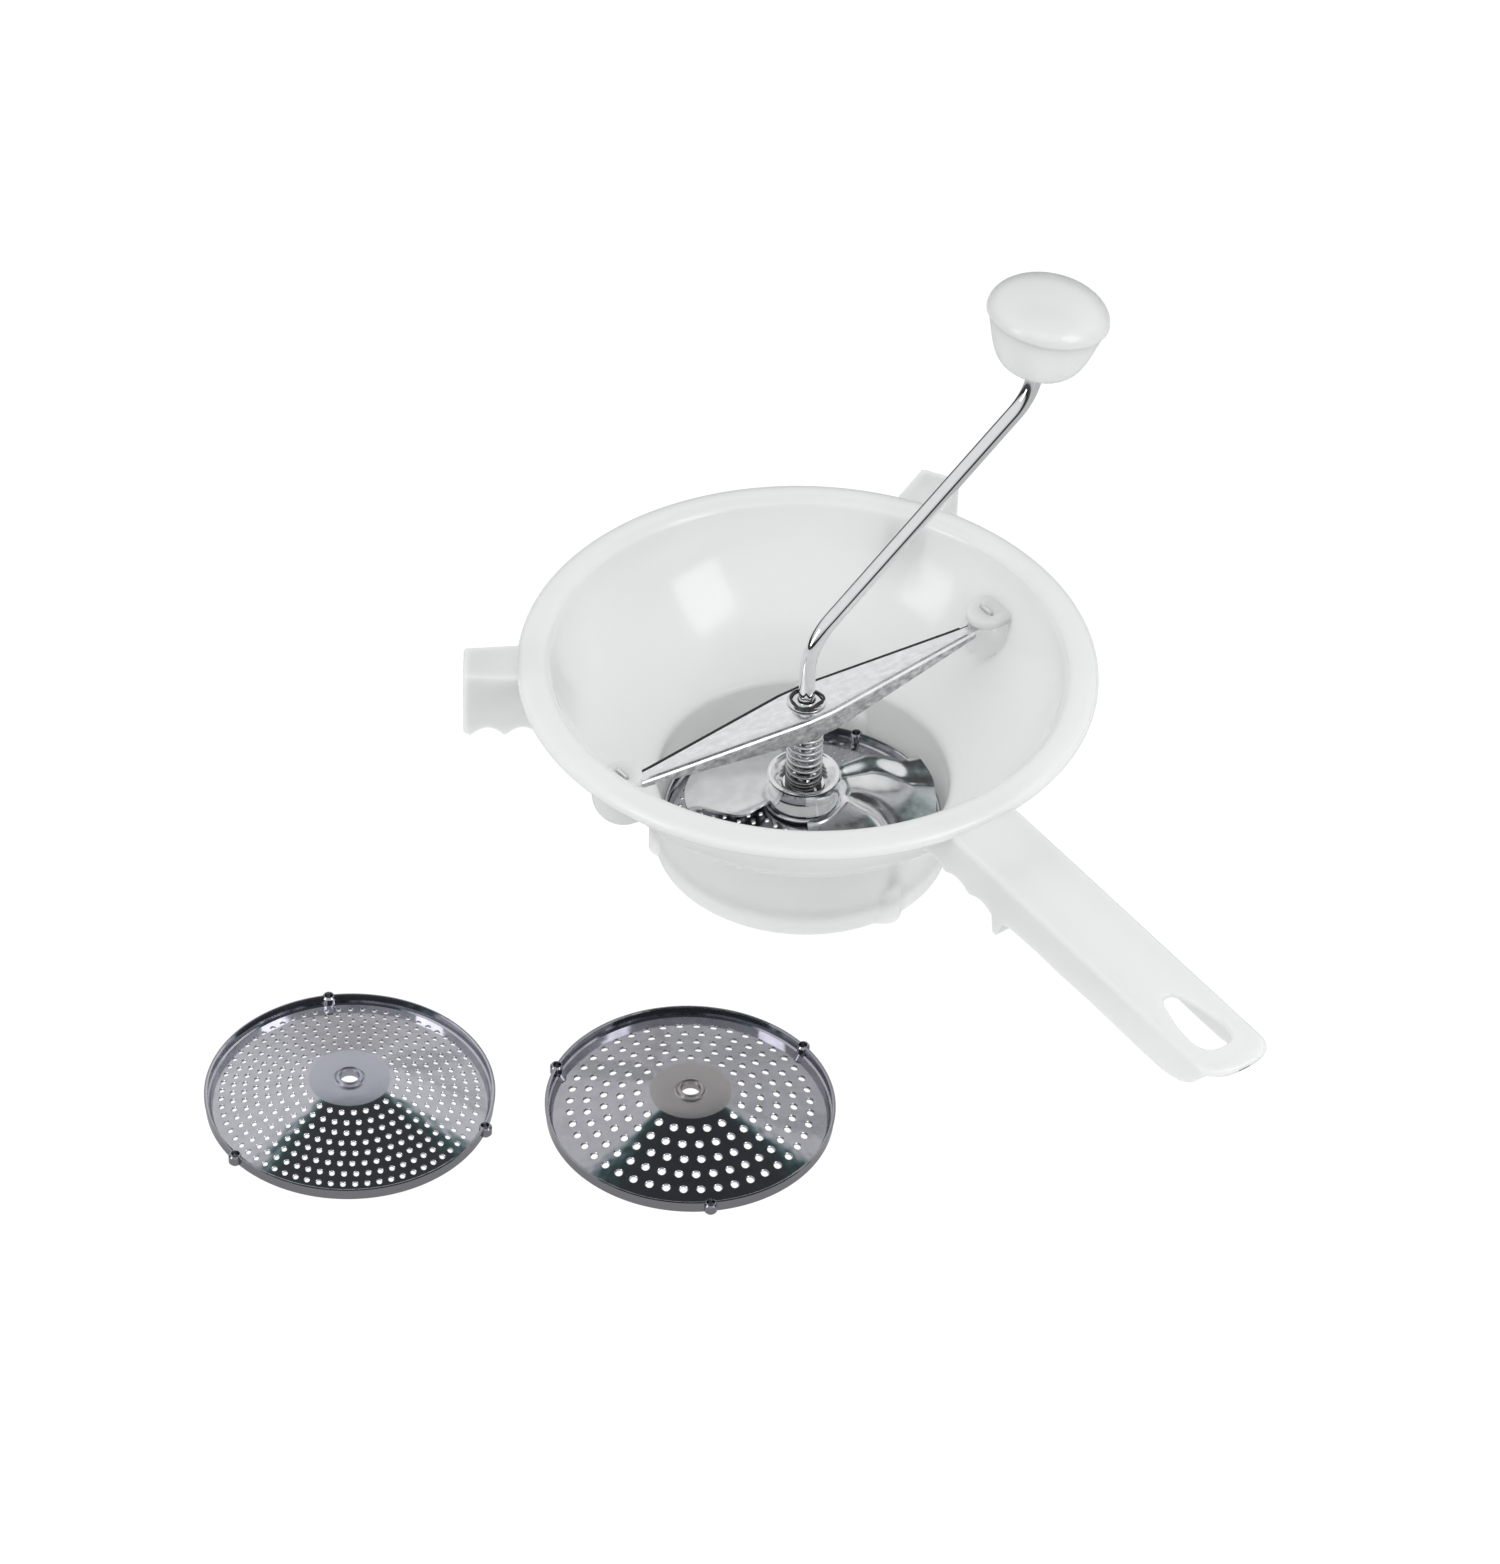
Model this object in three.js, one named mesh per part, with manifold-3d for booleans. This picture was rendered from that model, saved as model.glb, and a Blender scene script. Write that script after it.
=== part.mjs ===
// A hand-cranked food mill: a moulded bowl with a long handle and two rim hooks, a sprung
// crank with a pressed blade, a fitted disc and two spare discs lying beside it.
// Millimetres, +Z up. The handle points along +X and the bridge lies along Y.
import * as THREE from 'three';
import { mergeVertices } from 'three/addons/utils/BufferGeometryUtils.js';
import Module from 'manifold-3d';

const wasm = await Module();
wasm.setup();

// ---------- driving dimensions ----------
const TURN_STEPS = 40;
const GAP = 0.3;

const RIM_RADIUS = 120;
const RIM_TOP = 98;
const WALL = 2.2;
const NECK_FOOT_RADIUS = 61.5;
const NECK_TOP_RADIUS = 63.5;
const NECK_TOP = 35;
const LEDGE_RADIUS = 53.5;
const LEDGE_TOP = 9;
const LEDGE_THICKNESS = 2.6;

const LUG_COUNT = 3;
const LUG_REACH = 61;
const LUG_WIDTH = 5;
const GROOVE = { centre: 57, radius: 5.2, ribHeight: 22 };

const BOSS_RADIUS = 8.5;
const BOSS_CENTRE = 94;
const BOSS_TOP = 81;
const BOSS_THICKNESS = 4.6;
const SLOT_WIDTH = 2.4;
const SLOT_LENGTH = 8.4;

const HANDLE_REACH = 284;
const HANDLE_WIDTH = 33;
const HANDLE_ROOT = 105;
const HANDLE_ROOT_TOP = 94;
const HANDLE_TIP_TOP = 86.6;
const HANDLE_PLATE = 2.8;
const HANDLE_FOLD = 71;
const HANGING_HOLE = { near: 236.5, far: 272.5, width: 19 };
const TOOTH_REACH = 148.5;
const TOOTH_Z = 62.7;
const TOOTH_ROOT_Z = 71.5;

const HOOK_REACH = 142.5;
const HOOK_WIDTH = 20.4;
const HOOK_TIP_WIDTH = 17.6;
const HOOK_TOP = 95;
const HOOK_TIP_TOP = 94;
const HOOK_TOOTH_Z = 63;
const HOOK_PITCH = 14.6;
const HOOK_SCALLOP = 3.8;
const SUPPORT_START = 70;
const BACK_HOOK_ANGLE = 120;
const LEFT_HOOK_ANGLE = -125.5;

const ROD_RADIUS = 3.4;
const ROD_TIP = 15;
const ROD_BEND = 105;
const ARM_REACH = 104;
const ARM_TOP = 194.5;
const ARM_ANGLE = 85.5;
const KNOB_LEAN = 9.5;
const KNOB_FOOT = 12.5;
const KNOB_RADIUS = 25.5;
const KNOB_SPLIT = 25.5;
const KNOB_DOME = 14;
const KNOB_HOLLOW = 9;

const BRIDGE_TOP = 75;
const BRIDGE_SHEET = 1.2;
const BRIDGE_HALF_LENGTH = 86;
const BRIDGE_HALF_WIDTH = 11.4;
const BRIDGE_END_HALF_WIDTH = 3.6;
const BRIDGE_FLAT = 7;
const BRIDGE_FLANGE = 10.4;
const BRIDGE_END_FLANGE = 3;

const SPRING_RADIUS = 7;
const SPRING_WIRE = 0.75;
const SPRING_TURNS = 14;
const SPRING_TOP = 71.9;
const SPRING_SEAT = 31.8;

const CUP_RADIUS = 15.3;
const CUP_TOP = 37.1;
const HUB_FOOT_RADIUS = 18;
const BLADE_PLATE = 23.1;
const BLADE_SHEET = 1.2;
const BLADE_LEAD_TOP = 30;

const DISC_RADIUS = 58;
const DISC_RIM = 5.5;
const DISC_SHEET = 0.8;
const DISC_HUB_RADIUS = 16.5;
const DISC_HUB_TOP = 12.2;
const DISC_HOLE = 4.2;
const SPARE_DISCS = [
  { name: 'spare_disc_medium', x: 26.5, y: -246, turn: 154.7 },
  { name: 'spare_disc_coarse', x: 110.5, y: -137.8, turn: 92.1 },
];

const radians = THREE.MathUtils.degToRad;

// ---------- materials ----------
const moulding = new THREE.MeshStandardMaterial({ color: 0xf2f3f2, roughness: 0.28, metalness: 0 });
const knobPlastic = new THREE.MeshStandardMaterial({ color: 0xf0f1f0, roughness: 0.25, metalness: 0 });
const chrome = new THREE.MeshStandardMaterial({ color: 0xc9ccd0, roughness: 0.12, metalness: 1 });
const sheetSteel = new THREE.MeshStandardMaterial({ color: 0xb9bcbf, roughness: 0.4, metalness: 1 });
const springSteel = new THREE.MeshStandardMaterial({ color: 0x9fa2a5, roughness: 0.3, metalness: 1 });
const polished = new THREE.MeshStandardMaterial({ color: 0xd2d4d6, roughness: 0.1, metalness: 1 });
const tinned = new THREE.MeshStandardMaterial({ color: 0x8f929b, roughness: 0.2, metalness: 1 });

// ---------- solids ----------
function toSolid(geometry) {
  const bare = geometry.index ? geometry.toNonIndexed() : geometry.clone();
  bare.deleteAttribute('normal');
  bare.deleteAttribute('uv');
  const merged = mergeVertices(bare, 1e-4);
  return new wasm.Manifold(new wasm.Mesh({
    numProp: 3,
    vertProperties: new Float32Array(merged.attributes.position.array),
    triVerts: new Uint32Array(merged.index.array),
  }));
}

function toMesh(name, solid, material) {
  const data = solid.getMesh();
  const geometry = new THREE.BufferGeometry();
  geometry.setAttribute('position', new THREE.BufferAttribute(data.vertProperties, 3));
  geometry.setIndex(new THREE.BufferAttribute(data.triVerts, 1));
  geometry.computeVertexNormals();
  const mesh = new THREE.Mesh(geometry, material);
  mesh.name = name;
  return mesh;
}

// A turned solid about Z from [radius, z] points listed anticlockwise, bottom first.
function turned(points, steps = TURN_STEPS) {
  const profile = points.map(([r, z]) => new THREE.Vector2(r, z));
  if (points[0][0] > 0) profile.push(profile[0].clone());
  return toSolid(new THREE.LatheGeometry(profile, steps).rotateX(Math.PI / 2));
}

// A flat outline in XY, raised from z to z + height.
function raised(shape, z, height, curveSteps = 8) {
  const geometry = new THREE.ExtrudeGeometry(shape, {
    depth: height, bevelEnabled: false, curveSegments: curveSteps,
  });
  return toSolid(geometry.translate(0, 0, z));
}

// An outline of [x, z] points, made into an upright plate between y and y + thickness.
function upright(points, y, thickness) {
  const shape = new THREE.Shape(points.map(([x, z]) => new THREE.Vector2(x, z)));
  const geometry = new THREE.ExtrudeGeometry(shape, { depth: thickness, bevelEnabled: false });
  return toSolid(geometry.rotateX(Math.PI / 2).translate(0, y + thickness, 0));
}

function post(radius, low, high, x = 0, y = 0, steps = 24) {
  const geometry = new THREE.CylinderGeometry(radius, radius, high - low, steps);
  return toSolid(geometry.rotateX(Math.PI / 2).translate(x, y, (low + high) / 2));
}

function block(x0, x1, y0, y1, z0, z1) {
  const geometry = new THREE.BoxGeometry(x1 - x0, y1 - y0, z1 - z0);
  return toSolid(geometry.translate((x0 + x1) / 2, (y0 + y1) / 2, (z0 + z1) / 2));
}

const turnZ = (solid, degrees) => solid.rotate([0, 0, degrees]);

// ---------- bowl ----------
// The flare runs from the neck to the rim on one curve; grow pushes it outwards.
function flarePoints(grow, count = 6) {
  const start = new THREE.Vector2(NECK_TOP_RADIUS - WALL + grow, NECK_TOP + 1);
  const end = new THREE.Vector2(RIM_RADIUS - 13.5 + grow, RIM_TOP - 2.5);
  const pull = new THREE.Vector2(RIM_RADIUS - 24 + grow, NECK_TOP + 22);
  return new THREE.QuadraticBezierCurve(start, pull, end).getPoints(count).map((p) => [p.x, p.y]);
}

// The filled outside of the bowl, from the table up to the rim.
function bowlOutside(clearance = 0) {
  const grow = WALL + clearance;
  const foot = clearance > 0 ? -5 : 0;
  return turned([
    [0, foot],
    [NECK_FOOT_RADIUS + clearance, foot],
    [NECK_FOOT_RADIUS + clearance, 0],
    ...flarePoints(grow).slice(0, -1),
    [RIM_RADIUS - 9, RIM_TOP - 6 - clearance],
    [RIM_RADIUS - 2, RIM_TOP - 7 - clearance],
    [RIM_RADIUS + clearance, RIM_TOP - 6.4],
    [RIM_RADIUS + clearance, RIM_TOP - 3.4],
    [RIM_RADIUS - 2 + clearance, RIM_TOP - 1.4 + clearance],
    [RIM_RADIUS - 7, RIM_TOP + clearance],
    [0, RIM_TOP + clearance],
  ]);
}

function bowlInside() {
  return turned([
    [0, -1],
    [LEDGE_RADIUS, -1],
    [LEDGE_RADIUS, LEDGE_TOP],
    [NECK_FOOT_RADIUS - WALL, LEDGE_TOP],
    ...flarePoints(0),
    [RIM_RADIUS - 11, RIM_TOP - 0.5],
    [RIM_RADIUS - 9, RIM_TOP + 2],
    [0, RIM_TOP + 2],
  ]);
}

// Two rounded pockets under the rim take the bridge's ends from below.
function pocket(radius, low, high, side) {
  const y = side * (BOSS_CENTRE - 1);
  const ball = new THREE.SphereGeometry(radius, 24, 12).translate(0, y, low + radius);
  return post(radius, low + radius, high, 0, y).add(toSolid(ball));
}

function boss(side) {
  const nose = post(BOSS_RADIUS, BOSS_TOP - BOSS_THICKNESS, BOSS_TOP, 0, side * BOSS_CENTRE);
  const low = Math.min(side * BOSS_CENTRE, side * RIM_RADIUS);
  const tail = block(-BOSS_RADIUS, BOSS_RADIUS, low, low + RIM_RADIUS - BOSS_CENTRE,
    BOSS_TOP - BOSS_THICKNESS, BOSS_TOP);
  return nose.add(tail);
}

function slot(side) {
  const y = side * BOSS_CENTRE;
  return block(-SLOT_LENGTH / 2, SLOT_LENGTH / 2, y - SLOT_WIDTH / 2, y + SLOT_WIDTH / 2,
    BOSS_TOP - BOSS_THICKNESS - 1, BOSS_TOP + 1);
}

function bowl() {
  const outside = bowlOutside();
  const lugAngle = 360 / LUG_COUNT;
  let shell = outside;
  for (const side of [1, -1]) shell = shell.add(pocket(13, 57, RIM_TOP - 8, side));
  for (let i = 0; i < LUG_COUNT; i += 1) {
    shell = shell.add(turnZ(post(GROOVE.radius + WALL, 0, GROOVE.ribHeight, GROOVE.centre), i * lugAngle));
  }
  const filled = shell;
  shell = shell.subtract(bowlInside());
  shell = shell.subtract(post(NECK_FOOT_RADIUS - WALL, -1, LEDGE_TOP - LEDGE_THICKNESS, 0, 0, TURN_STEPS));
  for (const side of [1, -1]) {
    shell = shell.subtract(pocket(10.8, 59.2, BOSS_TOP - BOSS_THICKNESS, side));
    shell = shell.add(boss(side).intersect(filled)).subtract(slot(side));
  }
  for (let i = 0; i < LUG_COUNT; i += 1) {
    const groove = post(GROOVE.radius, LEDGE_TOP, NECK_TOP + 3, GROOVE.centre);
    shell = shell.subtract(turnZ(groove, i * lugAngle));
  }
  return shell;
}

// ---------- handle and rim hooks ----------
// The scalloped lower edge of a support, from its outer tooth back towards the bowl.
function scallops(outer, inner, toothZ) {
  const points = [];
  for (let step = 0; outer - (HOOK_PITCH * step) / 6 > inner; step += 1) {
    const lift = HOOK_SCALLOP * Math.abs(Math.sin((Math.PI * step) / 6));
    points.push([outer - (HOOK_PITCH * step) / 6, toothZ + lift]);
  }
  return points;
}

const handleTop = (x) => {
  const share = (x - HANDLE_ROOT) / (HANDLE_REACH - HANDLE_ROOT);
  return THREE.MathUtils.lerp(HANDLE_ROOT_TOP, HANDLE_TIP_TOP, share);
};

function handlePlan() {
  const half = HANDLE_WIDTH / 2;
  const shape = new THREE.Shape();
  shape.moveTo(SUPPORT_START, -half);
  shape.lineTo(HANDLE_REACH - 9, -half);
  shape.quadraticCurveTo(HANDLE_REACH - 4, -half, HANDLE_REACH - 3, -half + 5);
  shape.quadraticCurveTo(HANDLE_REACH + 3, 0, HANDLE_REACH - 3, half - 5);
  shape.quadraticCurveTo(HANDLE_REACH - 4, half, HANDLE_REACH - 9, half);
  shape.lineTo(SUPPORT_START, half);
  return shape;
}

// A teardrop with its point towards the bowl.
function hangingHole() {
  const { near, far, width } = HANGING_HOLE;
  const half = width / 2;
  const shape = new THREE.Shape();
  shape.moveTo(near + 2, -2.6);
  shape.lineTo(far - 10, -half);
  shape.quadraticCurveTo(far, -half, far, 0);
  shape.quadraticCurveTo(far, half, far - 10, half);
  shape.lineTo(near + 2, 2.6);
  shape.quadraticCurveTo(near - 1.5, 0, near + 2, -2.6);
  return shape;
}

function longHandle() {
  const half = HANDLE_WIDTH / 2;
  const slabEnd = HANDLE_REACH + 2;
  const slab = upright([
    [HANDLE_ROOT, handleTop(HANDLE_ROOT) - HANDLE_PLATE],
    [slabEnd, handleTop(slabEnd) - HANDLE_PLATE],
    [slabEnd, handleTop(slabEnd)],
    [HANDLE_ROOT, handleTop(HANDLE_ROOT)],
  ], -half, HANDLE_WIDTH);
  const tipRoot = HANDLE_REACH - 12;
  const side = [
    ...scallops(TOOTH_REACH - 5, SUPPORT_START, TOOTH_ROOT_Z).reverse(),
    [TOOTH_REACH - 1.4, TOOTH_Z + 5],
    [TOOTH_REACH - 1, TOOTH_Z],
    [TOOTH_REACH + 1, TOOTH_Z],
    [TOOTH_REACH + 5, TOOTH_ROOT_Z + 1],
    [tipRoot - 22, HANDLE_FOLD - 1.5],
    [tipRoot - 6, HANDLE_FOLD + 0.8],
    [tipRoot, HANDLE_FOLD + 4],
    [tipRoot + 6, handleTop(tipRoot) - HANDLE_PLATE],
    [tipRoot, handleTop(tipRoot) - HANDLE_PLATE + 1],
    [SUPPORT_START, handleTop(HANDLE_ROOT) - 1],
  ];
  const crossWall = [
    [TOOTH_REACH - 1, TOOTH_Z], [TOOTH_REACH + 1, TOOTH_Z],
    [TOOTH_REACH + 2, HANDLE_FOLD + 16], [TOOTH_REACH, HANDLE_FOLD + 16],
  ];
  let handle = slab.add(upright(crossWall, -half, HANDLE_WIDTH));
  for (const y of [-half, half - WALL]) handle = handle.add(upright(side, y, WALL));
  const opening = raised(hangingHole(), HANDLE_FOLD, HANDLE_ROOT_TOP - HANDLE_FOLD, 6);
  return handle.intersect(raised(handlePlan(), 0, RIM_TOP, 6)).subtract(opening);
}

function rimHook() {
  const half = HOOK_WIDTH / 2;
  const outline = upright([
    ...scallops(HOOK_REACH - 2.5, SUPPORT_START, HOOK_TOOTH_Z).reverse(),
    [HOOK_REACH, HOOK_TOOTH_Z + 2],
    [HOOK_REACH, HOOK_TIP_TOP],
    [RIM_RADIUS, HOOK_TOP],
    [SUPPORT_START, HOOK_TOP],
  ], -half, HOOK_WIDTH);
  const plan = (inset) => {
    const tip = HOOK_TIP_WIDTH / 2 - inset;
    const root = half - inset;
    return new THREE.Shape([
      new THREE.Vector2(SUPPORT_START - inset, -root), new THREE.Vector2(RIM_RADIUS, -root),
      new THREE.Vector2(HOOK_REACH - inset, -tip), new THREE.Vector2(HOOK_REACH - inset, tip),
      new THREE.Vector2(RIM_RADIUS, root), new THREE.Vector2(SUPPORT_START - inset, root),
    ]);
  };
  return outline.intersect(raised(plan(0), 0, RIM_TOP))
    .subtract(raised(plan(WALL), 0, HOOK_TIP_TOP - WALL));
}

// A support stops just short of the bowl's outside, at the angle it is moulded at.
const besideBowl = (support, angle) => turnZ(support, angle).subtract(bowlOutside(GAP));

// ---------- bridge ----------
function diamond(inset, overrun) {
  const middle = BRIDGE_HALF_WIDTH - inset;
  const end = BRIDGE_END_HALF_WIDTH - inset;
  const reach = BRIDGE_HALF_LENGTH + overrun;
  const shape = new THREE.Shape();
  shape.moveTo(-end, -reach);
  shape.lineTo(end, -reach);
  shape.lineTo(middle, -BRIDGE_FLAT);
  shape.lineTo(middle, BRIDGE_FLAT);
  shape.lineTo(end, reach);
  shape.lineTo(-end, reach);
  shape.lineTo(-middle, BRIDGE_FLAT);
  shape.lineTo(-middle, -BRIDGE_FLAT);
  return shape;
}

function bridge() {
  const low = BRIDGE_TOP - BRIDGE_FLANGE - 1;
  const underside = BRIDGE_TOP - BRIDGE_SHEET;
  let channel = raised(diamond(0, 0), low, BRIDGE_TOP - low);
  channel = channel.subtract(raised(diamond(BRIDGE_SHEET, 1), low - 1, underside - low + 1));
  const keep = turnZ(upright([
    [-BRIDGE_HALF_LENGTH - 1, BRIDGE_TOP - BRIDGE_END_FLANGE],
    [-BRIDGE_FLAT, BRIDGE_TOP - BRIDGE_FLANGE],
    [BRIDGE_FLAT, BRIDGE_TOP - BRIDGE_FLANGE],
    [BRIDGE_HALF_LENGTH + 1, BRIDGE_TOP - BRIDGE_END_FLANGE],
    [BRIDGE_HALF_LENGTH + 1, BRIDGE_TOP + 1],
    [-BRIDGE_HALF_LENGTH - 1, BRIDGE_TOP + 1],
  ], -BRIDGE_HALF_WIDTH - 1, 2 * BRIDGE_HALF_WIDTH + 2), 90);
  channel = channel.intersect(keep);
  for (const side of [1, -1]) {
    const start = side * (BRIDGE_HALF_LENGTH - 2);
    const tip = side * (BOSS_CENTRE + BRIDGE_SHEET / 2);
    const tongue = block(-3, 3, Math.min(start, tip), Math.max(start, tip), underside, BRIDGE_TOP);
    const inner = side * (BOSS_CENTRE - BRIDGE_SHEET / 2);
    const tab = block(-3, 3, Math.min(inner, tip), Math.max(inner, tip), underside, BOSS_TOP + 0.6);
    channel = channel.add(tongue).add(tab);
  }
  return channel.subtract(post(5.4, low, BRIDGE_TOP + 1));
}

const bridgeBushing = () => turned([
  [ROD_RADIUS + GAP, BRIDGE_TOP - 3.6], [5.1, BRIDGE_TOP - 3.6], [5.1, BRIDGE_TOP + GAP],
  [8.2, BRIDGE_TOP + GAP], [8.2, BRIDGE_TOP + 0.9], [5.4, BRIDGE_TOP + 1.7],
  [ROD_RADIUS + GAP, BRIDGE_TOP + 1.7],
], 32);

function rodClip() {
  const ring = turned([
    [ROD_RADIUS + GAP, BRIDGE_TOP + 2], [6.6, BRIDGE_TOP + 2],
    [6.6, BRIDGE_TOP + 3], [ROD_RADIUS + GAP, BRIDGE_TOP + 3],
  ], 32);
  return turnZ(ring.subtract(block(0, 9, -1.6, 1.6, BRIDGE_TOP, BRIDGE_TOP + 5)), ARM_ANGLE + 180);
}

const springTopWasher = () => turned([
  [5.4, SPRING_TOP + 0.1], [8.8, SPRING_TOP + 0.1],
  [8.8, BRIDGE_TOP - BRIDGE_SHEET - GAP], [5.4, BRIDGE_TOP - BRIDGE_SHEET - GAP],
], 32);

// ---------- spring ----------
class Coil extends THREE.Curve {
  getPoint(t, target = new THREE.Vector3()) {
    const angle = 2 * Math.PI * SPRING_TURNS * t;
    const closed = 1.5 / SPRING_TURNS;
    const pitchShare = THREE.MathUtils.clamp((t - closed) / (1 - 2 * closed), 0, 1);
    const low = SPRING_SEAT + SPRING_WIRE;
    const high = SPRING_TOP - SPRING_WIRE;
    const stack = 1.5 * (2 * SPRING_WIRE + 0.12);
    const below = stack * Math.min(t / closed, 1);
    const above = stack * THREE.MathUtils.clamp((t - 1 + closed) / closed, 0, 1);
    const z = low + below + pitchShare * (high - low - 2 * stack) + above;
    return target.set(SPRING_RADIUS * Math.cos(angle), SPRING_RADIUS * Math.sin(angle), z);
  }
}

// A round wire swept along a curve, by a ring of points at each step.
function wire(curve, radius, steps, sides) {
  const section = new THREE.Shape();
  for (let i = 0; i < sides; i += 1) {
    const angle = (2 * Math.PI * i) / sides;
    const method = i === 0 ? 'moveTo' : 'lineTo';
    section[method](radius * Math.cos(angle), radius * Math.sin(angle));
  }
  section.closePath();
  return toSolid(new THREE.ExtrudeGeometry(section, { steps, extrudePath: curve, bevelEnabled: false }));
}

// ---------- crank ----------
// The rod stands on the axis, bends over into the arm and bends up again into the knob.
function crankPath() {
  const up = new THREE.Vector3(0, 0, 1);
  const out = new THREE.Vector3(Math.cos(radians(ARM_ANGLE)), Math.sin(radians(ARM_ANGLE)), 0);
  const at = (r, z) => out.clone().multiplyScalar(r).addScaledVector(up, z);
  const first = at(0, ROD_BEND);
  const second = at(ARM_REACH, ARM_TOP);
  const arm = second.clone().sub(first).normalize();
  const lean = up.clone().multiplyScalar(Math.cos(radians(KNOB_LEAN)))
    .addScaledVector(out, Math.sin(radians(KNOB_LEAN)));
  const along = (p, direction, d) => p.clone().addScaledVector(direction, d);
  const path = new THREE.CurvePath();
  const bottom = along(first, up, -14);
  const armStart = along(first, arm, 14);
  const armEnd = along(second, arm, -10);
  const knobFoot = along(second, lean, 10);
  path.add(new THREE.LineCurve3(at(0, ROD_TIP), bottom));
  path.add(new THREE.QuadraticBezierCurve3(bottom, first, armStart));
  path.add(new THREE.LineCurve3(armStart, armEnd));
  path.add(new THREE.QuadraticBezierCurve3(armEnd, second, knobFoot));
  path.add(new THREE.LineCurve3(knobFoot, along(second, lean, KNOB_FOOT + KNOB_SPLIT + 1.5)));
  return { path, second, lean };
}

const crank = crankPath();

// Knob pieces are turned about their own axis and then leaned along the rod's end.
function onRodEnd(solid) {
  const foot = crank.second.clone().addScaledVector(crank.lean, KNOB_FOOT);
  return turnZ(solid.rotate([0, KNOB_LEAN, 0]), ARM_ANGLE).translate([foot.x, foot.y, foot.z]);
}

const BORE = ROD_RADIUS + GAP;
const knobCup = () => onRodEnd(turned([
  [BORE, 0], [7, 0], [12.5, 1.4], [17, 5], [19.8, 10], [21.6, 16], [23.2, KNOB_SPLIT - 2.5],
  [KNOB_RADIUS - 1.4, KNOB_SPLIT - GAP], [KNOB_HOLLOW, KNOB_SPLIT - GAP],
  [KNOB_HOLLOW, KNOB_SPLIT - 6.6], [BORE, KNOB_SPLIT - 6.6],
], 32));

function knobCap() {
  const dome = [];
  for (let step = 0; step < 7; step += 1) {
    const angle = (Math.PI * step) / 14;
    dome.push([KNOB_RADIUS * Math.cos(angle), KNOB_SPLIT + 1 + (KNOB_DOME - 1) * Math.sin(angle)]);
  }
  return onRodEnd(turned([
    [0, KNOB_SPLIT + 4], [KNOB_HOLLOW, KNOB_SPLIT + 4], [KNOB_HOLLOW, KNOB_SPLIT],
    [KNOB_RADIUS - 1, KNOB_SPLIT], ...dome, [0, KNOB_SPLIT + KNOB_DOME],
  ], 32));
}

const knobRetainer = () => onRodEnd(turned([
  [BORE, KNOB_SPLIT - 6.3], [7.5, KNOB_SPLIT - 6.3], [7.5, KNOB_SPLIT - 5], [BORE, KNOB_SPLIT - 5],
], 24));

// ---------- spring cup, hub and blade ----------
const springCup = () => turned([
  [BORE, SPRING_SEAT - 0.9], [9.3, SPRING_SEAT - 0.9], [13.9, CUP_TOP - 1.2], [CUP_RADIUS, CUP_TOP - 0.8],
  [CUP_RADIUS, CUP_TOP], [13.4, CUP_TOP], [8.7, SPRING_SEAT - 0.1], [BORE, SPRING_SEAT - 0.1],
], 24);

const bladeHub = () => turned([
  [BORE, BLADE_PLATE + BLADE_SHEET + GAP], [HUB_FOOT_RADIUS, BLADE_PLATE + BLADE_SHEET + GAP],
  [CUP_RADIUS - 0.1, CUP_TOP - 1.4], [14, CUP_TOP - 1.7], [9.5, SPRING_SEAT - 1.3], [BORE, SPRING_SEAT - 1.3],
], 24);

const bladeRivet = () => turned([
  [BORE, BLADE_PLATE - 1.2], [6.5, BLADE_PLATE - 1.2], [6.5, BLADE_PLATE - GAP], [BORE, BLADE_PLATE - GAP],
], 24);

// Each wing starts high at its leading edge and falls to the disc's cone at its trailing edge.
const WINGS = [
  { lead: 79.5, span: 110, reach: 54.5 },
  { lead: 257.5, span: 100, reach: 48 },
];
const BLADE_STEPS = 48;
const BLADE_RINGS = 5;

function wingAt(angle) {
  for (const wing of WINGS) {
    const behind = (((wing.lead - angle) % 360) + 360) % 360;
    if (behind <= wing.span) return { wing, share: behind / wing.span };
  }
  return null;
}

// The cone of the fitted disc under the blade, at a radius from the axis.
const coneTop = (r) => {
  const slope = (DISC_HUB_TOP - 2) / (DISC_RADIUS - 2 - DISC_HUB_RADIUS);
  return LEDGE_TOP + GAP + DISC_HUB_TOP - Math.max(r - DISC_HUB_RADIUS, 0) * slope;
};

function bladeHeight(r, share) {
  const low = Math.min(coneTop(r) + 1.4, BLADE_PLATE);
  const rise = (BLADE_LEAD_TOP - low) * (1 - share) ** 1.3;
  return low + rise * THREE.MathUtils.smoothstep(r, HUB_FOOT_RADIUS, HUB_FOOT_RADIUS + 9);
}

function blade() {
  const plate = HUB_FOOT_RADIUS + 0.5;
  const rows = [];
  for (let ring = 0; ring <= BLADE_RINGS; ring += 1) {
    const row = [];
    for (let step = 0; step < BLADE_STEPS; step += 1) {
      const angle = (360 * step) / BLADE_STEPS;
      const found = wingAt(angle);
      const reach = found ? found.wing.reach : plate + 0.2;
      const out = ring === 0 ? BORE : THREE.MathUtils.lerp(plate, reach, (ring - 1) / (BLADE_RINGS - 1));
      const z = ring > 1 && found ? bladeHeight(out, found.share) : BLADE_PLATE;
      row.push([out * Math.cos(radians(angle)), out * Math.sin(radians(angle)), z]);
    }
    rows.push(row);
  }
  return toSolid(sheetFrom(rows, BLADE_SHEET));
}

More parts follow.
